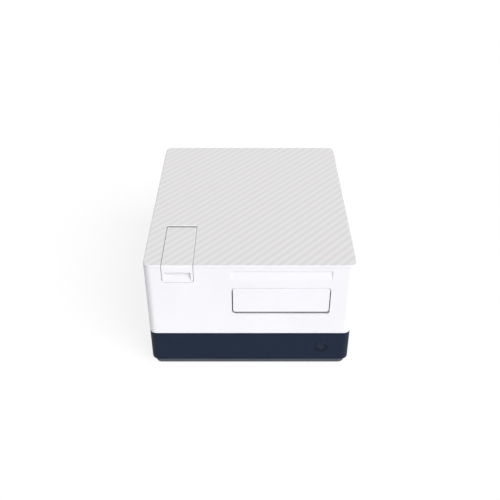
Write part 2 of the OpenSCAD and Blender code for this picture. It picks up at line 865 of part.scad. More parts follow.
module fan_rotor() {
    y0 = panel_y - fan_d + 3 + slip;
    l = fan_d - 3 - 2 * slip - 0.6;
    blade_l = fan_sweep_r - slip;
    color(black) {
        rod_y([fan_x, y0 - 3, panel_mid_z], 1.5, 4);
        rod_y([fan_x, y0, panel_mid_z], fan_hub_r, l);
        intersection() {
            rod_y([fan_x, y0, panel_mid_z], blade_l, l);
            for (i = [0 : fan_blades - 1])
                translate([fan_x, y0 + l / 2, panel_mid_z]) rotate([0, i * 360 / fan_blades, 0])
                    translate([blade_l / 2, 0, 0]) rotate([38, 0, 0])
                        cube([blade_l, 1.2, fan_w * 0.24], center = true);
        }
    }
}

module fan_guard() {
    y0 = panel_y + panel_t;
    color(steel) {
        for (r = [fan_w * 0.14, fan_w * 0.25, fan_w * 0.36, fan_w * 0.46])
            translate([fan_x, y0 + 1, panel_mid_z]) rotate([-90, 0, 0]) linear_extrude(1)
                difference() {
                circle(r);
                circle(r - 1.1);
            }
        for (a = [0, 45, 90, 135])
            translate([fan_x, y0 + 0.5, panel_mid_z]) rotate([0, a, 0])
                cube([a % 90 == 0 ? fan_w * 0.92 : fan_w * 1.12, 1, 1.2], center = true);
    }
}

// ---------------------------------------------------------------- chassis

module chassis_deck() {
    inset = wall + deck_gap;
    color(alloy) difference() {
        outline_slab(inset, deck_t, deck_bottom, max(2, corner_r - inset));
        rod_z([tray_belt_x, tray_pulley_y, deck_bottom - 1], shaft_r + 2, deck_t + 2);
        rod_z([optic_x, grating_y, deck_bottom - 1], shaft_r + 2, deck_t + 2);
        // Lightening slots between the rods, and one for the cables.
        for (i = [-2 : 2])
            translate([door_x + i * deck_slot_pitch, nose_y + deck_slot_in, deck_bottom - 1])
                linear_extrude(deck_t + 2) rounded(deck_slot[0], deck_slot[1], 4);
        translate([cable_slot_at[0], cable_slot_at[1], deck_bottom - 1])
            linear_extrude(deck_t + 2) rounded(cable_slot[0], cable_slot[1], 6);
    }
}

module deck_posts() {
    l = deck_bottom - pan_z;
    color(steel) {
        at_corners(post_inset_x, post_inset_y) rod_z([0, 0, pan_z], post_r, l);
        rod_z([mid_post[0], mid_post[1], pan_z], post_r, l);
    }
}

module rod_blocks() {
    color(alloy) for (x = [-1, 1], y = [rod_y0, rod_y1 - block_l])
        difference() {
            block([door_x + x * rod_off - block_half, y, deck_top],
                [door_x + x * rod_off + block_half, y + block_l, rod_axis_z + rod_r + 2.5]);
            rod_y([door_x + x * rod_off, y - 1, rod_axis_z], rod_r, block_l + 2);
            rod_z([door_x + x * (rod_off + 5.4), y + block_l / 2, rod_axis_z], 1.2, 10);
        }
}

module guide_rods() {
    color(steel) for (x = [-1, 1])
        rod_y([door_x + x * rod_off, rod_y0, rod_axis_z], rod_r, rod_y1 - rod_y0);
}

// ---------------------------------------------------------------- plate door

// Stop behind the door: a sill and two sides that end below the sweep of the hinge, and a lip
// on the sill that shuts out light under the door.
module door_frame() {
    y0 = front + door_t + slip;
    lip_y = front + wall + 2 * slip;
    w = carrier_w + 2 * tray_clear;
    color(black) difference() {
        upright(door_x, lip_y, open_z0, door_open_w, front + rim_depth - lip_y, door_open_h,
            door_corner_r + door_side_gap);
        upright(door_x, lip_y - 1, open_z0 + sill_h, w, rim_depth, door_open_h, 2);
        block([door_x - door_open_w, lip_y - 1, open_z0 + sill_lip_h],
            [door_x + door_open_w, y0, open_z1 + 1]);
        block([door_x - door_open_w, lip_y - 1, door_axis_z - door_sweep_r - slip],
            [door_x + door_open_w, front + rim_depth + 1, open_z1 + 1]);
    }
}

module plate_door() {
    skin = 2.2;
    edge = 3;
    color(white) difference() {
        upright(door_x, front, door_z0, door_w, door_t, door_h, door_corner_r);
        // Cored back with three ribs left standing.
        for (i = [0 : 3])
            block([door_x - door_w / 2 + edge + i * (door_w - edge) / 4, front + skin,
                door_z0 + edge],
                [door_x - door_w / 2 + (i + 1) * (door_w - edge) / 4, front + door_t + 1,
                    door_axis_z - door_pin_r - 2]);
        for (x = [-1, 1])
            rod_x([door_x + x * (door_w / 2 - door_pin_in / 2) - door_pin_in / 2 - eps, door_axis_y,
                door_axis_z], door_pin_r, door_pin_in + 2 * eps);
        round_front(door_x, door_z0, door_w, door_h, door_corner_r, door_edge_r);
    }
}

module door_pins() {
    l = door_pin_in + door_side_gap + door_pin_out;
    color(steel) for (x = [-1, 1])
        rod_x([door_x + x * (door_w / 2 - door_pin_in + l / 2) - l / 2, door_axis_y, door_axis_z],
            door_pin_r, l);
}

// ---------------------------------------------------------------- plate transport

module plate_carrier() {
    nest_mid_y = nose_y + nest_rim + plate_clear + plate_w / 2;
    pocket_l = plate_l + 2 * plate_clear;
    pocket_d = plate_w + 2 * plate_clear;
    corner_r = 4;
    lap = 5;             // of the arms and the bridge over the nest
    bridge_d = 8;
    housing_l = bush_l + 4;
    bore_gap = 0.6;
    notch_half = [8, 12];
    color(alloy) difference() {
        union() {
            translate([door_x, (nose_y + nest_y1) / 2, carrier_under])
                linear_extrude(carrier_t + nest_rim_h)
                rounded(carrier_w, nest_l, corner_r);
            // Arms with bush housings, joined by a bridge behind the nest.
            for (x = [-1, 1]) {
                block([door_x + x * (carrier_w / 2 - arm_strip / 2) - arm_strip / 2, nest_y1 - lap,
                    carrier_under],
                    [door_x + x * (carrier_w / 2 - arm_strip / 2) + arm_strip / 2, carrier_rear,
                        carrier_top]);
                block([door_x + x * rod_off - housing_half, carrier_rear - housing_l, rod_axis_z],
                    [door_x + x * rod_off + housing_half, carrier_rear, carrier_under + eps]);
                rod_y([door_x + x * rod_off, carrier_rear - housing_l, rod_axis_z], housing_half,
                    housing_l);
            }
            block([door_x - carrier_w / 2 + 2, nest_y1 - lap, carrier_under],
                [door_x + carrier_w / 2 - 2, nest_y1 + bridge_d, carrier_top]);
            belt_fork();
        }
        // Plate nest, its through window and the finger notches in its side rims.
        translate([door_x, nest_mid_y, carrier_top]) linear_extrude(nest_rim_h + 1)
            rounded(pocket_l, pocket_d, 2);
        translate([door_x, nest_mid_y, carrier_under - 1]) linear_extrude(carrier_t + 2)
            rounded(pocket_l - 2 * nest_ledge, pocket_d - 2 * nest_ledge, corner_r);
        for (x = [-1, 1])
            block([door_x + x * carrier_w / 2 - notch_half[0], nest_mid_y - notch_half[1],
                carrier_top + 1],
                [door_x + x * carrier_w / 2 + notch_half[0], nest_mid_y + notch_half[1],
                    carrier_top + nest_rim_h + 1]);
        for (x = [-1, 1]) {
            rod_y([door_x + x * rod_off, carrier_rear - bush_l, rod_axis_z], bush_r, bush_l + 1);
            rod_y([door_x + x * rod_off, carrier_rear - housing_l - 1, rod_axis_z],
                rod_r + bore_gap, housing_l + 2);
        }
    }
}

// Fork that grips the inner run of the tray belt.
module belt_fork() {
    run_x = tray_belt_x - belt_in - belt_t;
    fork_in = 4;
    fork_l = 14;
    y1 = carrier_rear - fork_in;
    y0 = y1 - fork_l;
    z_top = rod_axis_z + belt_w / 2 + slip;
    difference() {
        block([door_x + rod_off, y0, z_top - belt_w - 1],
            [run_x + belt_t + slip + 2, y1, z_top + 3]);
        block([run_x - slip, y0 - 1, z_top - belt_w - 2], [run_x + belt_t + slip, y1 + 1, z_top]);
    }
}

module carrier_bushes() {
    color(bronze) for (x = [-1, 1])
        translate([door_x + x * rod_off, carrier_rear - bush_l, rod_axis_z]) rotate([-90, 0, 0])
            linear_extrude(bush_l)
            difference() {
                circle(bush_r);
                circle(rod_r + run);
            }
}

// Sprung finger that pushes the microplate into the front right corner of its nest.
module plate_clip() {
    clip_in = 6;
    clip_l = 12;
    clip_t = 1;
    edge = 0.5;
    rivet_r = 1.6;
    x0 = door_x - carrier_w / 2 + clip_in;
    y0 = nest_y1 - nest_back_rim;
    z0 = carrier_top + nest_rim_h;
    color(steel) {
        block([x0, y0 + edge, z0], [x0 + clip_l, y0 + nest_back_rim - edge, z0 + clip_t]);
        rod_z([x0 + clip_l / 2, y0 + nest_back_rim / 2, z0 + clip_t - eps], rivet_r, 1);
    }
}

module tray_motor() {
    color(black) translate([tray_belt_x, tray_pulley_y, deck_bottom]) stepper(motor_w, motor_l);
}

module tray_pulley() {
    color(steel) translate([tray_belt_x, tray_pulley_y, rod_axis_z]) {
        pulley(shaft_r - eps);
        translate([0, 0, deck_bottom - rod_axis_z - shaft_in])
            cylinder(r = shaft_r, h = shaft_in + rod_axis_z - deck_bottom + pulley_half + 1);
    }
}

module tray_idler() {
    color(steel) translate([tray_belt_x, tray_idler_y, rod_axis_z]) pulley(idler_post_r + run);
}

module idler_posts() {
    color(steel) {
        rod_z([tray_belt_x, tray_idler_y, deck_top], post_foot_r,
            rod_axis_z - pulley_half - slip - deck_top);
        rod_z([tray_belt_x, tray_idler_y, deck_top + 1], idler_post_r,
            rod_axis_z + pulley_half + slip - deck_top - 1);
        rod_z([tray_belt_x, tray_idler_y, rod_axis_z + pulley_half + slip - eps], 4, 1.2);
        rod_y([door_x + scan_pulley_off, scan_belt_y + pulley_half + slip, scan_belt_axis_z],
            post_foot_r, rail_wall_y - scan_belt_y - pulley_half - slip);
        rod_y([door_x + scan_pulley_off, scan_belt_y - pulley_half - slip, scan_belt_axis_z],
            idler_post_r, rail_wall_y - scan_belt_y + pulley_half + slip - 1);
        rod_y([door_x + scan_pulley_off, scan_belt_y - pulley_half - slip - 1.2, scan_belt_axis_z],
            4, 1.2 + eps);
    }
}

module tray_belt() {
    color(black) translate([tray_belt_x, tray_idler_y, rod_axis_z]) rotate([0, 0, 90])
        belt(tray_pulley_y - tray_idler_y);
}

// ---------------------------------------------------------------- scan head

module rail_wall() {
    x0 = door_x - rail_wall_half;
    x1 = door_x + rail_wall_half;
    y1 = rail_wall_y + rail_wall_t;
    foot = 14;
    rib_t = 3;
    rib_l = 30;
    rib_half = 30;       // the inner pair, from the middle of the wall
    window = [36, 16];
    window_pitch = 60;
    window_drop = 24;    // from the top of the wall
    color(alloy) difference() {
        union() {
            block([x0, rail_wall_y, deck_top], [x1, y1, deck_top + rail_wall_h]);
            block([x0, rail_wall_y, deck_top], [x1, y1 + foot, deck_top + rail_wall_t]);
            for (x = [x0 + rib_t, door_x - rib_half, door_x + rib_half, x1 - rib_t])
                translate([x - rib_t / 2, y1 - eps, deck_top + rail_wall_t - eps])
                    rotate([90, 0, 90]) linear_extrude(rib_t)
                    polygon([[0, 0], [foot, 0], [0, rib_l]]);
        }
        rod_y([door_x - scan_pulley_off, rail_wall_y - 1, scan_belt_axis_z], shaft_r + 2,
            rail_wall_t + 2);
        // Windows that lighten the wall below and above the rail.
        for (x = [-window_pitch, 0, window_pitch])
            upright(door_x + x, rail_wall_y - 1, deck_top + rail_wall_h - window_drop, window[0],
                rail_wall_t + 2, window[1], window[1] / 4);
    }
}

// Section of the scan rail. Grown, it is the groove of the carriage, whose slopes ride on
// those of the rail.
module rail_profile(grow) {
    h = rail_h / 2 + grow;
    w = h - rail_waist;
    head = 2 - grow;
    foot = rail_d - 2 + grow;
    slope = rail_waist;
    polygon([[-grow, -h], [head, -h], [head + slope, -w], [foot - slope, -w], [foot, -h],
        [rail_d, -h], [rail_d, h], [foot, h], [foot - slope, w], [head + slope, w], [head, h],
        [-grow, h]]);
}

module scan_rail() {
    half = scan_travel + carriage_l / 2 + 6;
    color(steel) translate([door_x - half, rail_y0, rail_axis_z]) rotate([90, 0, 90])
        linear_extrude(2 * half) rail_profile(0);
}

module scan_carriage() {
    half = carriage_l / 2;
    run_z = scan_belt_axis_z - belt_in - belt_t;
    top = rail_axis_z + carriage_h / 2;
    belt_y0 = scan_belt_y - belt_w / 2;
    belt_y1 = scan_belt_y + belt_w / 2;
    color(graphite) {
        difference() {
            block([door_x - half, carriage_y0, rail_axis_z - carriage_h / 2],
                [door_x + half, carriage_y0 + carriage_d, top]);
            translate([door_x - half - 1, rail_y0, rail_axis_z]) rotate([90, 0, 90])
                linear_extrude(carriage_l + 2)
                rail_profile(slip);
        }
        // Clamp that grips the lower run of the scan belt.
        difference() {
            block([door_x - 8, belt_y0 - 1, top - eps],
                [door_x + 8, belt_y1 + 3, run_z + belt_t + slip + 2]);
            block([door_x - 9, belt_y0 - 2, run_z - slip],
                [door_x + 9, belt_y1 + slip, run_z + belt_t + slip]);
        }
    }
}

module scan_yoke() {
    top = upper_arm_z + arm_h;
    x0 = door_x - arm_w / 2;
    x1 = door_x + arm_w / 2;
    eye_r = 4;
    slot_w = 3;
    slot_l = 22;
    slot_pitch = 30;
    slot_in = 18;        // first slot behind the light path
    color(graphite) difference() {
        union() {
            block([x0, scan_y0, lower_arm_z], [x1, scan_y0 + spine_t, top]);
            for (z = [lower_arm_z, upper_arm_z]) {
                block([x0, arm_tip_y, z], [x1, scan_y0 + eps, z + arm_h]);
                rod_z([door_x, scan_line_y, z], arm_w / 2 + 3, arm_h);
            }
        }
        for (z = [lower_arm_z, upper_arm_z]) rod_z([door_x, scan_line_y, z - 1], eye_r, arm_h + 2);
        // Lightening slots along the arms.
        for (z = [lower_arm_z, upper_arm_z], i = [0 : 3])
            translate([door_x - slot_w / 2, scan_line_y + slot_in + i * slot_pitch, z - 1])
                cube([slot_w, slot_l, arm_h + 2]);
    }
}

module scan_lens() {
    color(black) translate([door_x, scan_line_y, upper_arm_z]) rotate_extrude()
        polygon([[2.2, -4.5], [3, -5], [6, -5], [6.5, -4], [6.5, 0], [4, 0], [4, arm_h],
            [6.5, arm_h], [6.5, arm_h + 3], [2.2, arm_h + 3]]);
}

module scan_detector() {
    color(black) translate([door_x, scan_line_y, lower_arm_z]) rotate_extrude()
        polygon([[0, -1.5], [6, -1.5], [6, 0], [4, 0], [4, arm_h], [6, arm_h], [6, arm_h + 2],
            [2.5, arm_h + 3.4], [2, arm_h + 2], [0, arm_h + 1.6]]);
}

module scan_motor() {
    color(black) translate([door_x - scan_pulley_off, rail_wall_y + rail_wall_t, scan_belt_axis_z])
        rotate([90, 0, 0])
        stepper(motor_w, motor_l);
}

module scan_pulley() {
    reach = rail_wall_y + rail_wall_t + shaft_in - scan_belt_y;
    color(steel) translate([door_x - scan_pulley_off, scan_belt_y, scan_belt_axis_z]) {
        rotate([90, 0, 0]) pulley(shaft_r - eps);
        rod_y([0, -pulley_half - 1, 0], shaft_r, pulley_half + 1 + reach);
    }
}

module scan_idler() {
    color(steel) translate([door_x + scan_pulley_off, scan_belt_y, scan_belt_axis_z])
        rotate([90, 0, 0])
        pulley(idler_post_r + run);
}

module scan_belt() {
    color(black) translate([door_x - scan_pulley_off, scan_belt_y, scan_belt_axis_z])
        rotate([90, 0, 0])
        belt(2 * scan_pulley_off);
}

// ---------------------------------------------------------------- cuvette port

module cuvette_lid() {
    r = lid_corner_r;
    pocket_top = top_z - pocket_drop;
    color(white) difference() {
        union() {
            // Top plate with rounded sides, and the front with rounded lower corners.
            translate([lid_x, lid_y1, film_z0]) rotate([90, 0, 0])
                linear_extrude(lid_y1 - front) lid_section();
            intersection() {
                upright(lid_x, front, lid_z0, lid_w, lid_t, lid_front_h + 20, r);
                block([lid_x - lid_w, front - 1, lid_z0 - 1],
                    [lid_x + lid_w, front + lid_t + 1, film_z0]);
            }
            // Fillet inside the bend and the housing behind the finger pocket.
            translate([lid_x - lid_w / 2, 0, 0]) rotate([90, 0, 90]) linear_extrude(lid_w)
                polygon([[front + lid_t - eps, film_z0 - lid_t - 2],
                    [front + lid_t - eps, film_z0 - lid_t + eps],
                    [front + lid_t + 2, film_z0 - lid_t + eps]]);
            ramp_back();
            for (x = [-1, 1]) ear(x);
        }
        ramp(lid_x, pocket_w, pocket_top, pocket_h, pocket_depth);
        for (x = [-1, 1])
            rod_x([lid_x + x * (lid_w / 2 - ear_w / 2) - ear_w / 2 - eps, lid_axis_y, lid_axis_z],
                lid_pin_r, ear_w + 2 * eps);
        round_front(lid_x, lid_z0, lid_w, 2 * lid_front_h, lid_corner_r, lid_edge_r);
        for (x = [0, 1])
            translate([lid_x, lid_y1 - lid_rear_r, film_z0 - 2 * lid_t]) mirror([x, 0, 0])
                translate([lid_w / 2 - lid_rear_r, 0, 0]) linear_extrude(3 * lid_t)
                spandrel(lid_rear_r);
        translate([lid_x - lid_w / 2 - 1, front + edge_r, film_z0 - edge_r]) rotate([90, 0, 90])
            linear_extrude(lid_w + 2) mirror([1, 0]) spandrel(edge_r);
    }
}

// Section of the top plate of the lid, hanging from the X axis.
module lid_section() {
    difference() {
        translate([-lid_w / 2, -lid_t]) square([lid_w, lid_t]);
        for (x = [0, 1])
            mirror([x, 0]) translate([lid_w / 2 - lid_edge_r, -lid_edge_r]) spandrel(lid_edge_r);
    }
}

// The closed back of the finger pocket.
module ramp_back() {
    w = pocket_w + 2 * pocket_wall;
    top = top_z - pocket_drop + pocket_wall;
    low = top_z - pocket_drop - pocket_h;
    y1 = front + pocket_depth + pocket_wall;
    translate([lid_x - w / 2, 0, 0]) rotate([90, 0, 90]) linear_extrude(w)
        polygon([[front + 1, top], [y1, top], [y1, top - pocket_wall - 1],
            [front + lid_t - eps, low + 1], [front + 1, low + 1]]);
}

module ear(side) {
    x0 = lid_x + side * (lid_w / 2 - ear_w / 2) - ear_w / 2;
    rod_x([x0, lid_axis_y, lid_axis_z], ear_r, ear_w);
    block([x0, lid_axis_y - ear_r, lid_axis_z],
        [x0 + ear_w, lid_axis_y + ear_r, film_z0 - lid_t + eps]);
}

module lid_film() {
    color(film_grey) translate([lid_x, (front + film_inset + lid_y1 - 0.5) / 2, film_z0])
        linear_extrude(film_t)
        rounded(lid_w - 1, lid_y1 - 0.5 - front - film_inset, 0.8);
}

module lid_pins() {
    l = ear_w + lid_gap + lid_pin_l;
    color(steel) for (x = [-1, 1])
        rod_x([lid_x + x * (lid_w / 2 - ear_w + l / 2) - l / 2, lid_axis_y, lid_axis_z], lid_pin_r,
            l);
}

module cuvette_bay() {
    x0 = lid_x - bay_w / 2;
    x1 = lid_x + bay_w / 2;
    color(black) difference() {
        union() {
            difference() {
                block([x0, bay_y0, bay_z0], [x1, bay_y1, cover_z0]);
                block([x0 + bay_wall, bay_y0 + bay_wall, bay_z0 + bay_wall],
                    [x1 - bay_wall, bay_y1 - bay_wall, cover_z0 + 1]);
                block([x0 + bay_wall, bay_y0 - 1, ledge_z],
                    [x1 - bay_wall, bay_y0 + bay_wall + 1, cover_z0 + 1]);
            }
            // Ledge that carries the seal.
            difference() {
                block([x0 + 1, bay_y0 + 1, ledge_z - ledge_t], [x1 - 1, ledge_y1, ledge_z]);
                block([x0 + bay_wall + ledge_w, bay_y0 + ledge_w, ledge_z - 2 * ledge_t],
                    [x1 - bay_wall - ledge_w, ledge_y1 - ledge_w, ledge_z + 1]);
            }
            for (x = [x0 + 5, x1 - 5], y = [bay_y0 + 5, bay_y1 - 5])
                rod_z([x, y, deck_top], 4, bay_z0 - deck_top + 1);
        }
        rod_x([x0 + bay_wall - lid_pin_l - 0.5, lid_axis_y, lid_axis_z], lid_pin_r + run,
            lid_open_w + 2 * lid_pin_l + 1);
        rod_y([lid_x, bay_y1 - bay_wall - 1, beam_z], fibre_r, bay_wall + 2);
    }
}

module bay_seal() {
    color(graphite) difference() {
        block([lid_x - bay_w / 2 + bay_wall, bay_y0, ledge_z],
            [lid_x + bay_w / 2 - bay_wall, ledge_y1, ledge_z + seal_t]);
        block([lid_x - bay_w / 2 + bay_wall + ledge_w, bay_y0 + ledge_w, ledge_z - 1],
            [lid_x + bay_w / 2 - bay_wall - ledge_w, ledge_y1 - ledge_w, ledge_z + seal_t + 1]);
    }
}

module cuvette_holder() {
    z0 = bay_z0 + bay_wall;
    color(alloy) difference() {
        union() {
            translate([lid_x, holder_y, z0]) linear_extrude(holder_h)
                rounded(holder_w, holder_w, 3);
            translate([lid_x, holder_y, z0]) linear_extrude(4)
                rounded(holder_w + 6, holder_w + 12, 3);
        }
        translate([lid_x - cuvette_w / 2, holder_y - cuvette_w / 2, z0 + 5])
            cube([cuvette_w, cuvette_w, holder_h]);
        // Lead-in at the mouth of the well, beam bore and window for the side detector.
        translate([lid_x - cuvette_w / 2 - 1, holder_y - cuvette_w / 2 - 1, z0 + holder_h - 1])
            cube([cuvette_w + 2, cuvette_w + 2, 2]);
        rod_y([lid_x, holder_y - holder_w, beam_z], fibre_r, 2 * holder_w);
        rod_x([lid_x, holder_y, beam_z], 3, holder_w);
    }
}

module cuvette_fibre() {
    y0 = holder_y + holder_w / 2 - 6;
    y1 = mono_y0 - 1.5;
    color(black) {
        rod_y([lid_x, y0, beam_z], fibre_r, y1 - y0 + eps);
        translate([lid_x, y1, beam_z - fibre_bend]) rotate([90, 0, 90]) rotate_extrude(angle = 90)
            translate([fibre_bend, 0]) circle(fibre_r);
        rod_z([lid_x, y1 + fibre_bend, deck_top + mono_h + mono_cover_t], fibre_r,
            beam_z - fibre_bend - deck_top - mono_h - mono_cover_t + eps);
        rod_z([lid_x, y1 + fibre_bend, deck_top + mono_h + mono_cover_t], fibre_r + 2, 5);
    }
}

// ---------------------------------------------------------------- optics

module mono_body() {
    x0 = mono_x - mono_w / 2;
    x1 = mono_x + mono_w / 2;
    mirror_l = 30;
    mirror_t = 5;
    mirror_left = 18;    // of the axis of the grating
    mirror_turn = 12;
    slit_right = 12;     // of the axis of the grating
    slit_l = 40;
    slit_t = 2;
    color(graphite) difference() {
        union() {
            difference() {
                translate([mono_x, (mono_y0 + mono_y1) / 2, deck_top]) linear_extrude(mono_h)
                    rounded(mono_w, mono_d, mono_corner_r);
                block([x0 + mono_wall, mono_y0 + mono_wall, deck_top + mono_wall],
                    [x1 - mono_wall, mono_y1 - mono_wall, deck_top + mono_h + 1]);
            }
            // Mirror walls and slit plate inside.
            translate([optic_x - mirror_left, mono_y0 + mono_wall + 4, deck_top + 1])
                rotate([0, 0, mirror_turn]) cube([mirror_l, mirror_t, mono_h - 6]);
            block([optic_x + slit_right, mono_y1 - slit_l, deck_top + 1],
                [optic_x + slit_right + slit_t, mono_y1 - 1, deck_top + mono_h - 4]);
        }
        rod_y([optic_x, mono_y1 - mono_wall - 1, optic_z], tube_r - 1.5, mono_wall + 2);
        rod_z([optic_x, grating_y, deck_top - 1], shaft_r + 2, mono_wall + 2);
    }
}

module mono_cover() {
    step = 5;
    screw_in = [2.8, 6];
    color(graphite) difference() {
        union() {
            translate([mono_x, (mono_y0 + mono_y1) / 2, deck_top + mono_h])
                linear_extrude(mono_cover_t - 1)
                rounded(mono_w, mono_d, mono_corner_r);
            translate([mono_x, (mono_y0 + mono_y1) / 2, deck_top + mono_h])
                linear_extrude(mono_cover_t)
                rounded(mono_w - 2 * step, mono_d - 2 * step, mono_corner_r - 2);
        }
        for (x = [-1, 1], y = [-1, 0, 1])
            rod_z([mono_x + x * (mono_w / 2 - screw_in[0]),
                (mono_y0 + mono_y1) / 2 + y * (mono_d / 2 - screw_in[1]),
                deck_top + mono_h - 1], 1.4, mono_cover_t + 2);
    }
}

module grating_table() {
    z0 = deck_top + mono_wall + slip;
    z1 = z0 + 4;         // top of the disc
    holder_t = 3;
    blank_t = 1.5;
    strut = [4, 10, 12];
    color(alloy) translate([optic_x, grating_y, 0]) {
        rod_z([0, 0, deck_bottom - shaft_in], shaft_r, shaft_in + z0 - deck_bottom + 1);
        rod_z([0, 0, z0], grating_r, z1 - z0);
        block([-grating_r * 0.8, 0, z1 - eps], [grating_r * 0.8, holder_t, z0 + grating_h]);
        block([-grating_r * 0.7, -blank_t, z1 + 1], [grating_r * 0.7, eps, z0 + grating_h - 1]);
        block([-strut[0] / 2, holder_t - eps, z1 - eps], [strut[0] / 2, strut[1], z0 + strut[2]]);
    }
}

module optics_motors() {
    color(black) {
        translate([optic_x, grating_y, deck_bottom]) stepper(motor_w, motor_l);
        translate([optic_x, bracket_y + bracket_t, wheel_z]) rotate([90, 0, 0])
            stepper(wheel_motor_w, wheel_motor_l);
    }
}

module filter_wheel() {
    color(alloy) {
        translate([optic_x, wheel_y + wheel_t, wheel_z]) rotate([90, 0, 0]) linear_extrude(wheel_t)
            difference() {
            circle(wheel_r);
            for (i = [0 : wheel_filters - 1])
                rotate([0, 0, -90 + i * 360 / wheel_filters]) translate([filter_ring_r, 0])
                    circle(filter_r);
        }
        rod_y([optic_x, wheel_y - 3, wheel_z], 7, 3 + eps);
        rod_y([optic_x, wheel_y + 1, wheel_z], shaft_r, bracket_y + bracket_t + 14 - wheel_y);
    }
}

module optics_bracket() {
    half = 20;
    color(alloy) difference() {
        union() {
            block([optic_x - half, bracket_y, deck_top],
                [optic_x + half, bracket_y + bracket_t, wheel_z + wheel_motor_w / 2 + 2]);
            block([optic_x - half, bracket_y, deck_top],
                [optic_x + half, bracket_y + bracket_t + 12, deck_top + 3]);
        }
        rod_y([optic_x, bracket_y - 1, wheel_z], shaft_r + 2, bracket_t + 2);
        rod_y([optic_x, bracket_y - 1, optic_z], tube_r, bracket_t + 2);
    }
}

module beam_tube() {
    color(black) {
        translate([optic_x, wheel_y + wheel_t + 1.5, optic_z]) rotate([-90, 0, 0])
            linear_extrude(lamp_y - wheel_y - wheel_t - 1.5) difference() {
                circle(tube_r);
                circle(tube_r - 1.5);
            }
        translate([optic_x, mono_y1, optic_z]) rotate([-90, 0, 0])
            linear_extrude(wheel_y - mono_y1 - 1.5) difference() {
            circle(tube_r);
            circle(tube_r - 1.5);
        }
    }
}

module lamp_housing() {
    x0 = optic_x - lamp_size[0] / 2;
    fin = 2;
    fin_h = 14;
    bore_l = 14;
    pitch = (lamp_size[0] - fin) / (lamp_fins - 1);
    color(alloy) difference() {
        union() {
            block([x0, lamp_y, deck_top],
                [x0 + lamp_size[0], lamp_y + lamp_size[1], deck_top + lamp_size[2] - fin_h]);
            for (i = [0 : lamp_fins - 1])
                block([x0 + i * pitch, lamp_y, deck_top + lamp_size[2] - fin_h - eps],
                    [x0 + i * pitch + fin, lamp_y + lamp_size[1], deck_top + lamp_size[2]]);
        }
        rod_y([optic_x, lamp_y - 1, optic_z], tube_r - 1.5, bore_l);
    }
}

// ---------------------------------------------------------------- electronics

module power_supply() {
    h = psu_size[2];
    sheet = 2;
    socket_d = 14;       // the open end with the terminals
    slot_in = [8, 22];
    slot_w = 4;
    slot_pitch = 9;
    slots = 8;
    color(steel) difference() {
        block([psu_at[0], psu_at[1], pan_z],
            [psu_at[0] + psu_size[0], psu_at[1] + psu_size[1], pan_z + h]);
        block([psu_at[0] - 1, psu_at[1] + sheet, pan_z + sheet],
            [psu_at[0] + psu_size[0] - sheet, psu_at[1] + socket_d, pan_z + h + 1]);
        for (i = [0 : slots - 1])
            translate([psu_at[0] + slot_in[0], psu_at[1] + slot_in[1] + i * slot_pitch,
                pan_z + h - sheet])
                cube([psu_size[0] - 2 * slot_in[0], slot_w, sheet + 1]);
    }
}

module main_board() {
    color(board_green) difference() {
        block([board_low[0], board_low[1], pan_z + board_lift],
            [board_high[0], board_high[1], pan_z + board_lift + board_t]);
        board_corners() rod_z([0, 0, pan_z], 1.5, 20);
    }
}

module board_parts() {
    chip = [22, 22, 2.4];
    small_chip = [14, 14, 1.8];
    connector = [14, 8, 8];
    connector_pitch = 20;
    capacitor_r = 5;
    capacitor_h = 14;
    capacitor_pitch = 14;
    sink = [60, 18, 3];
    fin = [2, 18, 11];
    fins = 9;
    // Places on the board, from its left front corner
    chip_at = [27, 38, 0];
    small_chip_at = [61, 32, 0];
    connectors_at = [17, 78];
    sink_at = [21, 100, 0];
    capacitors_at = [23, 134];
    color(black) translate([board_low[0], board_low[1], pan_z + board_lift + board_t]) {
        translate(chip_at) cube(chip);
        translate(small_chip_at) cube(small_chip);
        for (i = [0 : 3])
            translate([connectors_at[0] + i * connector_pitch, connectors_at[1], 0])
                cube(connector);
        for (i = [0 : 4])
            rod_z([capacitors_at[0] + i * capacitor_pitch, capacitors_at[1], 0], capacitor_r,
                capacitor_h);
        // Heat sink with fins.
        translate(sink_at) {
            cube(sink);
            for (i = [0 : fins - 1])
                translate([i * (sink[0] - fin[0]) / (fins - 1), 0, sink[2] - eps])
                    cube([fin[0], fin[1], fin[2] + eps]);
        }
    }
}

module button_board() {
    half_w = 18;
    top = 12;            // above the axis of the button
    hole_at = [14, 8];
    switch_half = 3;
    switch_d = 4;
    color(board_green) {
        difference() {
            block([button_x - half_w, switch_y + switch_d, pan_z],
                [button_x + half_w, switch_y + switch_d + board_t, button_y + top]);
            for (x = [-1, 1])
                rod_y([button_x + x * hole_at[0], switch_y, button_y + hole_at[1]], 1.5, 10);
        }
        block([button_x - switch_half, switch_y + 1, button_y - switch_half],
            [button_x + switch_half, switch_y + switch_d + eps, button_y + switch_half]);
        rod_y([button_x, switch_y, button_y], 1.7, 1 + eps);
    }
}

module power_button() {
    sag = dish_r - sqrt(dish_r * dish_r - (button_r - 1) * (button_r - 1));
    color(navy) difference() {
        union() {
            rod_y([button_x, front, button_y], button_r, button_l);
            rod_y([button_x, front + button_l - button_flange, button_y], button_hole_r + 1.4,
                button_flange);
        }
        // Dished face.
        translate([button_x, front - dish_r + sag, button_y]) sphere(dish_r, $fn = 96);
        rod_y([button_x, front + 4, button_y], button_r - 2, button_l);
        translate([button_x, front, button_y]) rotate([90, 0, 0]) rotate_extrude()
            translate([button_r - button_edge_r, -button_edge_r]) spandrel(button_edge_r);
    }
}

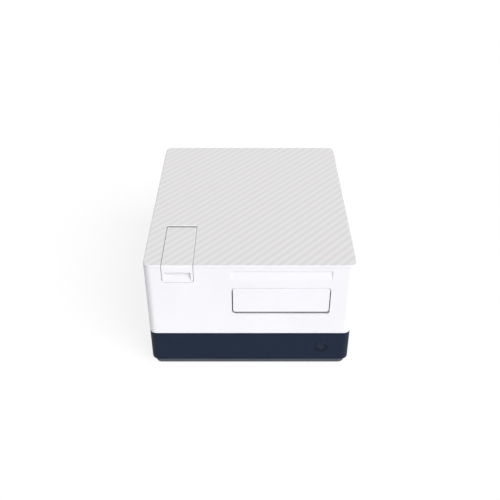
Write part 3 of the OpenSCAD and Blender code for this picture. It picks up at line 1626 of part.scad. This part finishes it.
base_pan();
lower_band();
upper_housing();
top_cover();
top_film();
rear_panel();
feet();
case_screws();
power_inlet();
inlet_blades();
usb_socket();
fan_frame();
fan_guard();
fan_rotor();
chassis_deck();
deck_posts();
door_frame();
plate_door();
door_pins();
guide_rods();
rod_blocks();
plate_carrier();
carrier_bushes();
plate_clip();
tray_motor();
tray_pulley();
tray_idler();
idler_posts();
tray_belt();
rail_wall();
scan_rail();
scan_carriage();
scan_yoke();
scan_lens();
scan_detector();
scan_motor();
scan_pulley();
scan_idler();
scan_belt();
cuvette_lid();
lid_film();
lid_pins();
cuvette_bay();
bay_seal();
cuvette_holder();
cuvette_fibre();
mono_body();
mono_cover();
grating_table();
optics_motors();
filter_wheel();
optics_bracket();
lamp_housing();
beam_tube();
power_supply();
main_board();
board_parts();
button_board();
power_button();
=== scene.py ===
"""Looks of the microplate reader: materials, soft and small pieces, lamps, floor and camera."""

import math
from functools import cached_property

import bmesh
import bpy
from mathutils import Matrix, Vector


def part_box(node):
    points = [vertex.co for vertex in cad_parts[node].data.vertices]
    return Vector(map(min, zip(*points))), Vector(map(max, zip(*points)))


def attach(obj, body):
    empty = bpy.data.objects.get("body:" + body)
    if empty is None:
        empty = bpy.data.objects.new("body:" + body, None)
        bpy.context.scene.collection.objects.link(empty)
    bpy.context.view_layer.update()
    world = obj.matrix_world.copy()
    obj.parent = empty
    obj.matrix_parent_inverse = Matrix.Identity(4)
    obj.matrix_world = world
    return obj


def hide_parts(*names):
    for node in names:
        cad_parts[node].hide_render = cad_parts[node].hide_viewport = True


MM = 0.001

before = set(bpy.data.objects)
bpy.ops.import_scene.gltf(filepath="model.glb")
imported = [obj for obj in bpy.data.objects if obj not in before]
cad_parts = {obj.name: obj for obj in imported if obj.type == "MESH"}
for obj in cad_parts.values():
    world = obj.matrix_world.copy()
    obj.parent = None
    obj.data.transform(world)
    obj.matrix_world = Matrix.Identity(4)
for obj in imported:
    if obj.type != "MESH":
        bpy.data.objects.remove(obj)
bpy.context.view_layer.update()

# ---------------------------------------------------------------- places taken from the frame

case_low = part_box("upper_housing")[0]
film_low, film_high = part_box("top_film")
lid_low, lid_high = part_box("cuvette_lid")
button_low, button_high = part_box("power_button")
seal_low, seal_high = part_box("bay_seal")


# ---------------------------------------------------------------- material graphs


class Graph:
    """The nodes of one material, or of the world, wired by short calls."""

    def __init__(self, owner, output="ShaderNodeOutputMaterial"):
        owner.use_nodes = True
        self.owner = owner
        self.tree = owner.node_tree
        self.tree.nodes.clear()
        self.output = self.add(output)

    @cached_property
    def place(self):
        """Where a point lies, in metres in the frame of the CAD."""
        return self.add("ShaderNodeTexCoord").outputs["Object"]

    def add(self, kind, settings=None, **sockets):
        """Adds a node. An underscore in a socket's name stands for a space, and n0 is the first.

        A value is set on its socket, and an output is linked to it.
        """
        node = self.tree.nodes.new(kind)
        for key, value in (settings or {}).items():
            setattr(node, key, value)
        for key, value in sockets.items():
            socket = self.socket(node, key)
            if isinstance(value, bpy.types.NodeSocket):
                self.tree.links.new(value, socket)
            else:
                socket.default_value = value
        return node

    @staticmethod
    def socket(node, key):
        if key.startswith("n") and key[1:].isdigit():
            return node.inputs[int(key[1:])]
        return node.inputs[key.replace("_", " ")]

    def math(self, operation, first, second=0.0):
        settings = {"operation": operation}
        return self.add("ShaderNodeMath", settings, n0=first, n1=second).outputs[0]

    def noise(self, scale, detail=2.0, roughness=0.5, place=None):
        sockets = {"Scale": scale, "Detail": detail, "Roughness": roughness}
        return self.add("ShaderNodeTexNoise", Vector=place or self.place, **sockets).outputs["Fac"]

    def stretched(self, factors):
        """The place scaled by a different factor along each axis."""
        settings = {"vector_type": "POINT"}
        node = self.add("ShaderNodeMapping", settings, Vector=self.place, Scale=factors)
        return node.outputs["Vector"]

    def ramp(self, value, low, high, out_low, out_high):
        """The value carried from one range to another, and held at the ends."""
        sockets = {"From_Min": low, "From_Max": high, "To_Min": out_low, "To_Max": out_high}
        return self.add("ShaderNodeMapRange", Value=value, **sockets).outputs["Result"]

    def mix(self, factor, first, second, blend="MIX"):
        settings = {"data_type": "RGBA", "blend_type": blend}
        return self.add("ShaderNodeMix", settings, n0=factor, n6=first, n7=second).outputs[2]

    def bump(self, height, distance, strength=1.0, normal=None):
        sockets = {"Height": height, "Distance": distance, "Strength": strength}
        if normal:
            sockets["Normal"] = normal
        return self.add("ShaderNodeBump", **sockets).outputs["Normal"]

    def worn_and_highlit_edges(self, radius):
        """Softened edge normal, and a mask that is 1 on the edges and 0 on the faces; the mask
        marks rubbed wear and painted highlight.
        """
        soft = self.add("ShaderNodeBevel", {"samples": 4}, Radius=radius).outputs["Normal"]
        flat = self.add("ShaderNodeNewGeometry").outputs["Normal"]
        return soft, self.ramp(self.dot(soft, flat), 0.98, 0.8, 0.0, 1.0)

    def dot(self, first, second):
        settings = {"operation": "DOT_PRODUCT"}
        return self.add("ShaderNodeVectorMath", settings, n0=first, n1=second).outputs["Value"]

    def inside(self, low, high):
        """1 where the place lies in a box, and 0 elsewhere."""
        parts = self.add("ShaderNodeSeparateXYZ", Vector=self.place).outputs
        result = 1.0
        for axis in range(3):
            above = self.math("GREATER_THAN", parts[axis], low[axis])
            below = self.math("LESS_THAN", parts[axis], high[axis])
            result = self.math("MULTIPLY", result, self.math("MULTIPLY", above, below))
        return result

    def seen(self):
        """1 for the rays of the camera, of reflections and of clear parts, and 0 for all others."""
        rays = self.add("ShaderNodeLightPath").outputs
        first = self.math("MAXIMUM", rays["Is Camera Ray"], rays["Is Glossy Ray"])
        return self.math("MAXIMUM", first, rays["Is Transmission Ray"])

    def finish(self, shader):
        """Sends a shader to the output."""
        self.tree.links.new(shader.outputs[0], self.output.inputs["Surface"])
        return self.owner

    def surface(self, **sockets):
        return self.finish(self.add("ShaderNodeBsdfPrincipled", **sockets))


# ---------------------------------------------------------------- kinds of finish


def material_graph(name):
    return Graph(bpy.data.materials.new(name))


def shade(colour, factor):
    """A colour made lighter or darker, with its alpha."""
    return (*[min(1.0, c * factor) for c in colour], 1.0)


def moulded(
    name, colour, rough, specular, grain=0.02 * MM, edge=0.4 * MM, edge_wear_and_highlight_tint=1.04, pocket_shade_box=None
):
    """Injection-moulded plastic with a spark-eroded texture, faint flow marks, and rubbed edges
    lightened as wear and painted highlight.

    The last argument is a box, low and high corner, inside which the colour is darkened as painted
    shade and the finish is coarser and rougher.
    """
    g = material_graph(name)
    soft, edges = g.worn_and_highlit_edges(edge)
    flow = g.noise(14.0, 3.0)
    tone = g.mix(g.ramp(flow, 0.35, 0.65, 0.0, 1.0), shade(colour, 0.985), shade(colour, 1.01))
    # Edges lightened in colour: partly rubbed wear, partly painted highlight.
    tone = g.mix(edges, tone, shade(colour, edge_wear_and_highlight_tint))
    speckle = g.noise(1700.0, 2.0, 0.6)
    rubbed = g.ramp(g.noise(38.0, 4.0, 0.6), 0.3, 0.7, rough - 0.04, rough + 0.05)
    finish = g.math("SUBTRACT", rubbed, g.math("MULTIPLY", edges, 0.06))
    # Inside the box the colour is darkened by 5 to 10 per cent as painted shade of the pocket; the
    # finish there is rougher.
    if pocket_shade_box:
        inside = g.inside(*pocket_shade_box)
        pocket_shade_depth = g.ramp(g.noise(900.0, 2.0, 0.6), 0.3, 0.7, 0.9, 0.95)
        painted_pocket_shade = g.mix(inside, (1.0, 1.0, 1.0, 1.0), pocket_shade_depth)
        tone = g.mix(1.0, tone, painted_pocket_shade, "MULTIPLY")
        finish = g.math("ADD", finish, g.math("MULTIPLY", inside, 0.2))
    return g.surface(
        Base_Color=tone,
        Roughness=finish,
        Specular_IOR_Level=specular,
        Normal=g.bump(speckle, grain, 0.5, soft),
    )


STRIPE_PERIOD = 11.15 * MM
STRIPE_ANGLE = math.radians(-41.5)  # direction across the stripes, from +X
STRIPE_PHASE = 0.5  # of a period


def printed_film(name, light, dark):
    """Matt film with soft diagonal stripes and a fine print grain."""
    g = material_graph(name)
    direction = Vector((math.cos(STRIPE_ANGLE), math.sin(STRIPE_ANGLE), 0.0))
    across = g.dot(g.place, direction / STRIPE_PERIOD)
    turn = g.math("MULTIPLY", g.math("ADD", across, STRIPE_PHASE), 2 * math.pi)
    wave = g.math("SINE", turn)
    band = g.ramp(wave, -0.9, 0.9, 0.0, 1.0)
    grain = g.noise(900.0, 2.0, 0.7)
    tone = g.mix(band, shade(dark, 1.0), shade(light, 1.0))
    tone = g.mix(g.ramp(grain, 0.3, 0.7, 0.0, 0.12), tone, shade(dark, 0.95))
    ridge = g.bump(band, 0.02 * MM, 0.4)
    return g.surface(
        Base_Color=tone,
        Roughness=g.ramp(grain, 0.3, 0.7, 0.48, 0.6),
        Specular_IOR_Level=0.3,
        Normal=g.bump(grain, 0.01 * MM, 0.4, ridge),
    )


def rubber(name, colour, ribs=None):
    """Rubber with a chalky bloom; ribs gives the axis and pitch of moulded belt teeth."""
    g = material_graph(name)
    bloom = g.noise(160.0, 5.0, 0.65)
    tone = g.mix(g.ramp(bloom, 0.45, 0.75, 0.0, 0.5), shade(colour, 1.0), shade(colour, 2.2))
    pores = g.bump(g.noise(2600.0, 2.0), 0.03 * MM, 0.6)
    if ribs:
        axis, pitch = ribs
        parts = g.add("ShaderNodeSeparateXYZ", Vector=g.place).outputs
        tooth = g.math("SINE", g.math("MULTIPLY", parts[axis], 2 * math.pi / pitch))
        pores = g.bump(g.ramp(tooth, -0.3, 0.3, 0.0, 1.0), 0.3 * MM, 0.8, pores)
    return g.surface(
        Base_Color=tone,
        Roughness=g.ramp(bloom, 0.3, 0.7, 0.68, 0.88),
        Specular_IOR_Level=0.35,
        Normal=pores,
    )


def foam(name, colour):
    """Closed-cell foam: cells cut open at the skin, with painted shade inside them."""
    g = material_graph(name)
    settings = {"feature": "DISTANCE_TO_EDGE"}
    cells = g.add("ShaderNodeTexVoronoi", settings, Vector=g.place, Scale=1500.0)
    rim = g.ramp(cells.outputs["Distance"], 0.02, 0.3, 0.0, 1.0)
    # Open cells darker inside and lighter at their rims: painted shade and highlight of the cell
    # hollows.
    tone = g.mix(rim, shade(colour, 1.7), shade(colour, 0.8))
    return g.surface(
        Base_Color=tone,
        Roughness=g.ramp(rim, 0.0, 1.0, 0.8, 0.95),
        Specular_IOR_Level=0.2,
        Normal=g.bump(g.math("SUBTRACT", 1.0, rim), 0.2 * MM, 0.7),
    )


def metal(name, colour, rough, grain_factors=(1.0, 1.0, 1.0), edge=0.25 * MM, streak=0.06):
    """Metal with a grain along one axis, faint stains, and edges lightened as wear and painted
    highlight.
    """
    g = material_graph(name)
    soft, edges = g.worn_and_highlit_edges(edge)
    brushed = g.noise(700.0, 3.0, 0.6, g.stretched(grain_factors))
    stain = g.noise(45.0, 4.0, 0.6)
    tone = g.mix(g.ramp(stain, 0.35, 0.7, 0.0, 1.0), shade(colour, 1.0), shade(colour, 0.9))
    # Edges lightened in colour: partly worn bright metal, partly painted highlight.
    tone = g.mix(edges, tone, shade(colour, 1.12))
    return g.surface(
        Base_Color=tone,
        Metallic=1.0,
        Roughness=g.ramp(brushed, 0.3, 0.7, rough - streak, rough + streak),
        Normal=g.bump(brushed, 0.01 * MM, 0.4, soft),
    )


def sintered(name, colour):
    """Oil-filled sintered bronze: dull metal with open pores."""
    g = material_graph(name)
    pores = g.add("ShaderNodeTexVoronoi", Vector=g.place, Scale=2200.0).outputs["Distance"]
    open_pore = g.ramp(pores, 0.1, 0.35, 0.0, 1.0)
    tone = g.mix(open_pore, shade(colour, 0.45), shade(colour, 1.0))
    return g.surface(
        Base_Color=tone,
        Metallic=1.0,
        Roughness=g.ramp(open_pore, 0.0, 1.0, 0.65, 0.42),
        Normal=g.bump(open_pore, 0.05 * MM, 0.6),
    )


def solder_mask(name, colour):
    """Green lacquer over copper: tracks show as lighter lines that run along the board."""
    g = material_graph(name)
    grid = g.add(
        "ShaderNodeTexBrick",
        Vector=g.stretched((1.0, 1.0, 0.0)),
        Color1=shade(colour, 1.0),
        Color2=shade(colour, 0.92),
        Mortar=shade(colour, 1.6),
        Scale=90.0,
        Mortar_Size=0.035,
        Brick_Width=2.4,
        Row_Height=0.35,
    ).outputs
    vias = g.add("ShaderNodeTexVoronoi", Vector=g.place, Scale=190.0).outputs["Distance"]
    tone = g.mix(g.ramp(vias, 0.05, 0.09, 1.0, 0.0), grid["Color"], shade(colour, 3.0))
    return g.surface(
        Base_Color=tone,
        Roughness=g.ramp(g.noise(120.0), 0.3, 0.7, 0.22, 0.34),
        Coat_Weight=0.3,
        Normal=g.bump(grid["Fac"], 0.03 * MM, 0.5),
    )


# ---------------------------------------------------------------- materials, one for each slot

# Colours in linear light.
WHITE = (0.94, 0.933, 0.97)
FILM_LIGHT = (0.926, 0.913, 0.918)
FILM_DARK = (0.837, 0.823, 0.828)
NAVY = (0.0085, 0.017, 0.038)
BUTTON_NAVY = (0.0105, 0.0172, 0.037)
GRAPHITE = (0.096, 0.104, 0.126)
BLACK = (0.014, 0.0145, 0.016)
RUBBER = (0.02, 0.02, 0.021)
FOAM = (0.035, 0.036, 0.04)
STEEL = (0.52, 0.53, 0.55)
ALLOY = (0.62, 0.63, 0.65)
DARK_ALLOY = (0.05, 0.052, 0.058)
BRONZE = (0.62, 0.40, 0.17)
MASK_GREEN = (0.018, 0.095, 0.05)
MARK_INK = (0.003, 0.0045, 0.010)

STEEL_GRAIN = (1.0, 0.04, 1.0)  # brushed along Y
ALLOY_GRAIN = (0.05, 1.0, 1.0)  # brushed along X

# Each slot of the record, with the function that makes its material and what that is given.
FINISHES = {
    "white_plastic": (
        moulded,
        {"colour": WHITE, "rough": 0.42, "specular": 0.35, "edge_wear_and_highlight_tint": 1.02},
    ),
    "top_film": (printed_film, {"light": FILM_LIGHT, "dark": FILM_DARK}),
    "navy_plastic": (moulded, {"colour": NAVY, "rough": 0.5, "specular": 0.12, "edge_wear_and_highlight_tint": 1.35}),
    "button_plastic": (
        moulded,
        {
            "colour": BUTTON_NAVY,
            "rough": 0.42,
            "specular": 0.15,
            "edge": 0.5 * MM,
            "edge_wear_and_highlight_tint": 1.3,
        },
    ),
    "graphite_plastic": (
        moulded,
        {
            "colour": GRAPHITE,
            "rough": 0.55,
            "specular": 0.2,
            "grain": 0.04 * MM,
            "edge_wear_and_highlight_tint": 1.25,
        },
    ),
    "black_plastic": (moulded, {"colour": BLACK, "rough": 0.48, "specular": 0.3, "edge_wear_and_highlight_tint": 1.8}),
    "rubber": (rubber, {"colour": RUBBER}),
    "foam": (foam, {"colour": FOAM}),
    "steel": (metal, {"colour": STEEL, "rough": 0.3, "grain_factors": STEEL_GRAIN}),
    "aluminium": (metal, {"colour": ALLOY, "rough": 0.4, "grain_factors": ALLOY_GRAIN}),
    "dark_aluminium": (metal, {"colour": DARK_ALLOY, "rough": 0.45, "streak": 0.03}),
    "bronze": (sintered, {"colour": BRONZE}),
    "motor_black": (moulded, {"colour": BLACK, "rough": 0.38, "specular": 0.4, "edge_wear_and_highlight_tint": 2.0}),
    "circuit_board": (solder_mask, {"colour": MASK_GREEN}),
    "board_parts": (
        moulded,
        {"colour": BLACK, "rough": 0.5, "specular": 0.3, "edge": 0.15 * MM, "edge_wear_and_highlight_tint": 1.6},
    ),
    "mark_ink": (moulded, {"colour": MARK_INK, "rough": 0.6, "specular": 0.05, "edge": 0.05 * MM}),
}
materials = {name: make(name, **values) for name, (make, values) in FINISHES.items()}

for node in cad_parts.values():
    slots = node.data.materials
    for i, old in enumerate(slots):
        slots[i] = materials[old.name.split(".")[0]]

# The finger pocket of the lid, from just behind the face of the case, inside which the lid's white
# carries painted shade.
LID_MIDDLE = (lid_low.x + lid_high.x) / 2
POCKET_HALF = 18.6 * MM
POCKET_TOP = film_high.z - 11.9 * MM
POCKET_H = 15.2 * MM
POCKET_SKIN = 0.12 * MM
POCKET_DEPTH = 6 * MM
POCKET = (
    (LID_MIDDLE - POCKET_HALF, case_low.y + POCKET_SKIN, POCKET_TOP - POCKET_H),
    (LID_MIDDLE + POCKET_HALF, case_low.y + POCKET_DEPTH, POCKET_TOP),
)
lid_white_shaded_pocket = moulded("lid_white_shaded_pocket", **FINISHES["white_plastic"][1], pocket_shade_box=POCKET)
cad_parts["cuvette_lid"].data.materials[0] = lid_white_shaded_pocket

BELT_PITCH = 2.5 * MM
for belt, axis in (("tray_belt", 1), ("scan_belt", 0)):
    ribbed = rubber(belt + "_rubber", RUBBER, (axis, BELT_PITCH))
    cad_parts[belt].data.materials[0] = ribbed


# ---------------------------------------------------------------- pieces


def piece_from(name, verts, faces, material, body, smooth=False):
    """A mesh piece that rides on a body."""
    mesh = bpy.data.meshes.new(name)
    mesh.from_pydata(verts, [], faces)
    mesh.validate()
    mesh.materials.append(materials[material])
    piece = bpy.data.objects.new(name, mesh)
    bpy.context.scene.collection.objects.link(piece)
    work = bmesh.new()
    work.from_mesh(mesh)
    bmesh.ops.recalc_face_normals(work, faces=work.faces)
    work.to_mesh(mesh)
    work.free()
    for polygon in mesh.polygons:
        polygon.use_smooth = smooth
    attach(piece, body)
    return piece


def sleeve(start, rows, across, closed=False):
    """Faces that join rows of points, each row a loop. An open sleeve gets a cap at each end."""
    faces = []
    for i in range(rows if closed else rows - 1):
        a = start + i * across
        b = start + (i + 1) % rows * across
        for k in range(across):
            m = (k + 1) % across
            faces.append((a + k, a + m, b + m, b + k))
    if not closed:
        last = start + (rows - 1) * across
        faces.append(tuple(range(start, start + across)))
        faces.append(tuple(range(last, last + across)))
    return faces


def rounded_path(low, high, radius, steps):
    """Points round a rectangle with round corners, each with the direction outwards."""
    points = []
    corners = [(high.x, high.y, 0), (low.x, high.y, 90), (low.x, low.y, 180), (high.x, low.y, 270)]
    for x, y, start in corners:
        cx = x - math.copysign(radius, x - (low.x + high.x) / 2)
        cy = y - math.copysign(radius, y - (low.y + high.y) / 2)
        for i in range(steps + 1):
            a = math.radians(start + 90 * i / steps)
            u, v = math.cos(a), math.sin(a)
            points.append((cx + radius * u, cy + radius * v, u, v))
    return points


def foam_seal():
    """Crowned foam ring on the ledge of the cuvette bay."""
    width = 3 * MM
    corner_r = 2.4 * MM
    corner_steps = 8
    section = 20
    path = rounded_path(seal_low, seal_high, corner_r, corner_steps)
    middle = (seal_low.z + seal_high.z) / 2
    half = (seal_high.z - seal_low.z) / 2
    verts = []
    for x, y, nx, ny in path:
        for k in range(section):
            a = 2 * math.pi * k / section
            c, s = math.cos(a), math.sin(a)
            out = math.copysign(abs(c) ** 0.5, c) * width / 2 - width / 2
            up = math.copysign(abs(s) ** 0.6, s) * half
            verts.append((x + nx * out, y + ny * out, middle + up))
    faces = sleeve(0, len(path), section, closed=True)
    piece = piece_from("foam_seal", verts, faces, "foam", "root", smooth=True)
    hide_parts("bay_seal")


def standby_mark():
    """Printed standby sign on the dished face of the button: an open ring, a bar in its gap."""
    ring_r = 7.2 * MM
    ring_steps = 72
    half_gap = math.radians(32)
    bar_low, bar_high = 4.0 * MM, 8.4 * MM
    bar_steps = 8
    half = 0.6 * MM
    lift = 0.06 * MM
    dish_r = 42 * MM
    dish_rim = 8.8 * MM
    middle = (button_low + button_high) / 2
    sphere_y = button_low.y - math.sqrt(dish_r**2 - dish_rim**2)  # middle of the dish's sphere
    ring = []
    for i in range(ring_steps + 1):
        a = math.pi / 2 + half_gap + (2 * math.pi - 2 * half_gap) * i / ring_steps
        ring.append((ring_r * math.cos(a), ring_r * math.sin(a), math.cos(a), math.sin(a)))
    bar = []
    for i in range(bar_steps + 1):
        bar.append((0.0, bar_low + (bar_high - bar_low) * i / bar_steps, 1.0, 0.0))
    verts, faces = [], []
    for path in (ring, bar):
        faces += sleeve(len(verts), len(path), 4)
        for x, z, nx, nz in path:
            for side, out in ((-1, lift), (1, lift), (1, -lift), (-1, -lift)):
                u = x + side * half * nx
                v = z + side * half * nz
                dish = math.sqrt(dish_r**2 - u * u - v * v)
                verts.append((middle.x + u, sphere_y + dish - out, middle.z + v))
    piece_from("standby_mark", verts, faces, "mark_ink", "button")


def gap_seal():
    """Thin rubber strip on the back wall of the lid's opening, turned round its two corners."""
    opening_d = 100 * MM
    wall_y = case_low.y + opening_d
    half = (seal_high.x - seal_low.x) / 2  # the foam ring is as wide as the opening
    low_z = film_low.z - 2.2 * MM
    high_z = film_low.z - 0.25 * MM
    turn_r = 2 * MM
    turn_steps = 8
    leg = 6 * MM
    thick = 0.2 * MM
    path = [(-half, -leg, 1, 0)]
    for start, cx in ((180, turn_r - half), (90, half - turn_r)):
        for i in range(turn_steps + 1):
            a = math.radians(start - 90 * i / turn_steps)
            u, v = math.cos(a), math.sin(a)
            path.append((cx + turn_r * u, turn_r * (v - 1), -u, -v))
    path.append((half, -leg, -1, 0))
    verts = []
    for x, y, nx, ny in path:
        for inward, z in ((0, low_z), (0, high_z), (thick, high_z), (thick, low_z)):
            verts.append((LID_MIDDLE + x + inward * nx, wall_y + y + inward * ny, z))
    piece_from("gap_seal", verts, sleeve(0, len(path), 4), "rubber", "root")


def socket_screw(name, x, y, z, radius, height):
    """Button-head screw with a hexagon socket, its head standing out to the back."""
    around = 36
    dome_steps = 6
    sixth = math.pi / 3
    angles = [2 * math.pi * i / around for i in range(around)]
    flat = 0.5 * radius * math.cos(sixth / 2)
    hexagon = [flat / math.cos(a % sixth - sixth / 2) for a in angles]
    rings = [(hexagon, 0.3 * height), (hexagon, height)]
    for k in range(dome_steps):
        turn = math.pi / 2 * k / dome_steps
        reach = radius * (0.68 + 0.32 * math.sin(turn))
        rings.append(([reach] * around, height * (0.35 + 0.65 * math.cos(turn))))
    rings.append(([radius] * around, 0.0))
    verts = []
    for ring, depth in rings:
        for r, a in zip(ring, angles):
            verts.append((x + r * math.cos(a), y + depth, z + r * math.sin(a)))
    piece_from(name, verts, sleeve(0, len(rings), around), "steel", "root")


def rear_screws():
    """Screws of the rear panel, the inlet and the fan, each at the seat that it clamps."""
    panel_low, panel_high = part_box("rear_panel")
    inlet_low, inlet_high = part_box("power_inlet")
    fan_low, fan_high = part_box("fan_frame")
    panel_mid = (panel_low + panel_high) / 2
    panel_off = (panel_high.x - panel_low.x) / 2 - 6 * MM
    panel_up = 14 * MM
    fan_mid_x = (fan_low.x + fan_high.x) / 2
    fan_off = (fan_high.x - fan_low.x) * 0.4
    inlet_mid_x = (inlet_low.x + inlet_high.x) / 2
    inlet_off = 20 * MM
    back = panel_high.y
    count = 0
    for side in (-1, 1):
        for up in (-1, 1):
            x, z = panel_mid.x + side * panel_off, panel_mid.z + up * panel_up
            socket_screw(f"panel_screw_{count}", x, back, z, 2.4 * MM, 1.3 * MM)
            x, z = fan_mid_x + side * fan_off, panel_mid.z + up * fan_off
            socket_screw(f"fan_screw_{count}", x, back, z, 2.6 * MM, 1.9 * MM)
            count += 1
        x = inlet_mid_x + side * inlet_off
        socket_screw(f"inlet_screw_{count}", x, inlet_high.y, panel_mid.z, 2.2 * MM, 0.8 * MM)


foam_seal()
standby_mark()
gap_seal()
rear_screws()


# ---------------------------------------------------------------- floor, lamps, camera

PAPER = (1.0, 1.0, 1.0, 1.0)
FLOOR_HALF = 6.0
FLOOR_LIT = (0.85, 0.85, 0.86, 1.0)  # what the light meets
FLOOR_SHOWN = (0.22, 0.22, 0.225, 1.0)  # what the camera sees under the glow
FLOOR_GLOW = 0.835
AMBIENT = 0.3
KEY_DIRECTION = (-0.49, 0.49, -0.55)
KEY_STRENGTH = 2.78
KEY_SPREAD = math.radians(50)
CAMERA_PLACE = (0.0, -0.9505, 0.7671)
CAMERA_PITCH = math.radians(35.435)  # below the horizon
CAMERA_LENS = 50.0  # millimetres
CAMERA_SENSOR = 36.0


def floor_material():
    """Pale floor that stays white to the camera and keeps the shadow of the case."""
    g = material_graph("floor")
    lit = g.add("ShaderNodeBsdfDiffuse", Color=FLOOR_LIT).outputs[0]
    shadow = g.add("ShaderNodeBsdfDiffuse", Color=FLOOR_SHOWN).outputs[0]
    glow = g.add("ShaderNodeEmission", Color=PAPER, Strength=FLOOR_GLOW).outputs[0]
    shown = g.add("ShaderNodeAddShader", n0=shadow, n1=glow).outputs[0]
    return g.finish(g.add("ShaderNodeMixShader", n0=g.seen(), n1=lit, n2=shown))


def make_floor():
    h = FLOOR_HALF
    mesh = bpy.data.meshes.new("floor")
    mesh.from_pydata([(-h, -h, 0), (h, -h, 0), (h, h, 0), (-h, h, 0)], [], [(0, 1, 2, 3)])
    mesh.materials.append(floor_material())
    floor = bpy.data.objects.new("floor", mesh)
    bpy.context.scene.collection.objects.link(floor)


def make_world():
    """Even light from all round, and plain white where the camera or a reflection sees it."""
    g = Graph(bpy.data.worlds.new("studio"), "ShaderNodeOutputWorld")
    light = g.add("ShaderNodeBackground", Color=PAPER, Strength=AMBIENT).outputs[0]
    white = g.add("ShaderNodeBackground", Color=PAPER, Strength=1.0).outputs[0]
    bpy.context.scene.world = g.finish(
        g.add("ShaderNodeMixShader", n0=g.seen(), n1=light, n2=white)
    )


def make_key():
    """A broad lamp from above the front right."""
    data = bpy.data.lights.new("key", "SUN")
    data.energy = KEY_STRENGTH
    data.angle = KEY_SPREAD
    lamp = bpy.data.objects.new("key", data)
    lamp.rotation_euler = Vector(KEY_DIRECTION).to_track_quat("-Z", "Y").to_euler()
    bpy.context.scene.collection.objects.link(lamp)


def make_camera():
    data = bpy.data.cameras.new("camera")
    data.lens = CAMERA_LENS
    data.sensor_width = CAMERA_SENSOR
    camera = bpy.data.objects.new("camera", data)
    camera.location = CAMERA_PLACE
    camera.rotation_euler = (math.pi / 2 - CAMERA_PITCH, 0.0, 0.0)
    bpy.context.scene.collection.objects.link(camera)
    bpy.context.scene.camera = camera


make_floor()
make_world()
make_key()
make_camera()
bpy.context.scene.view_settings.view_transform = "Standard"
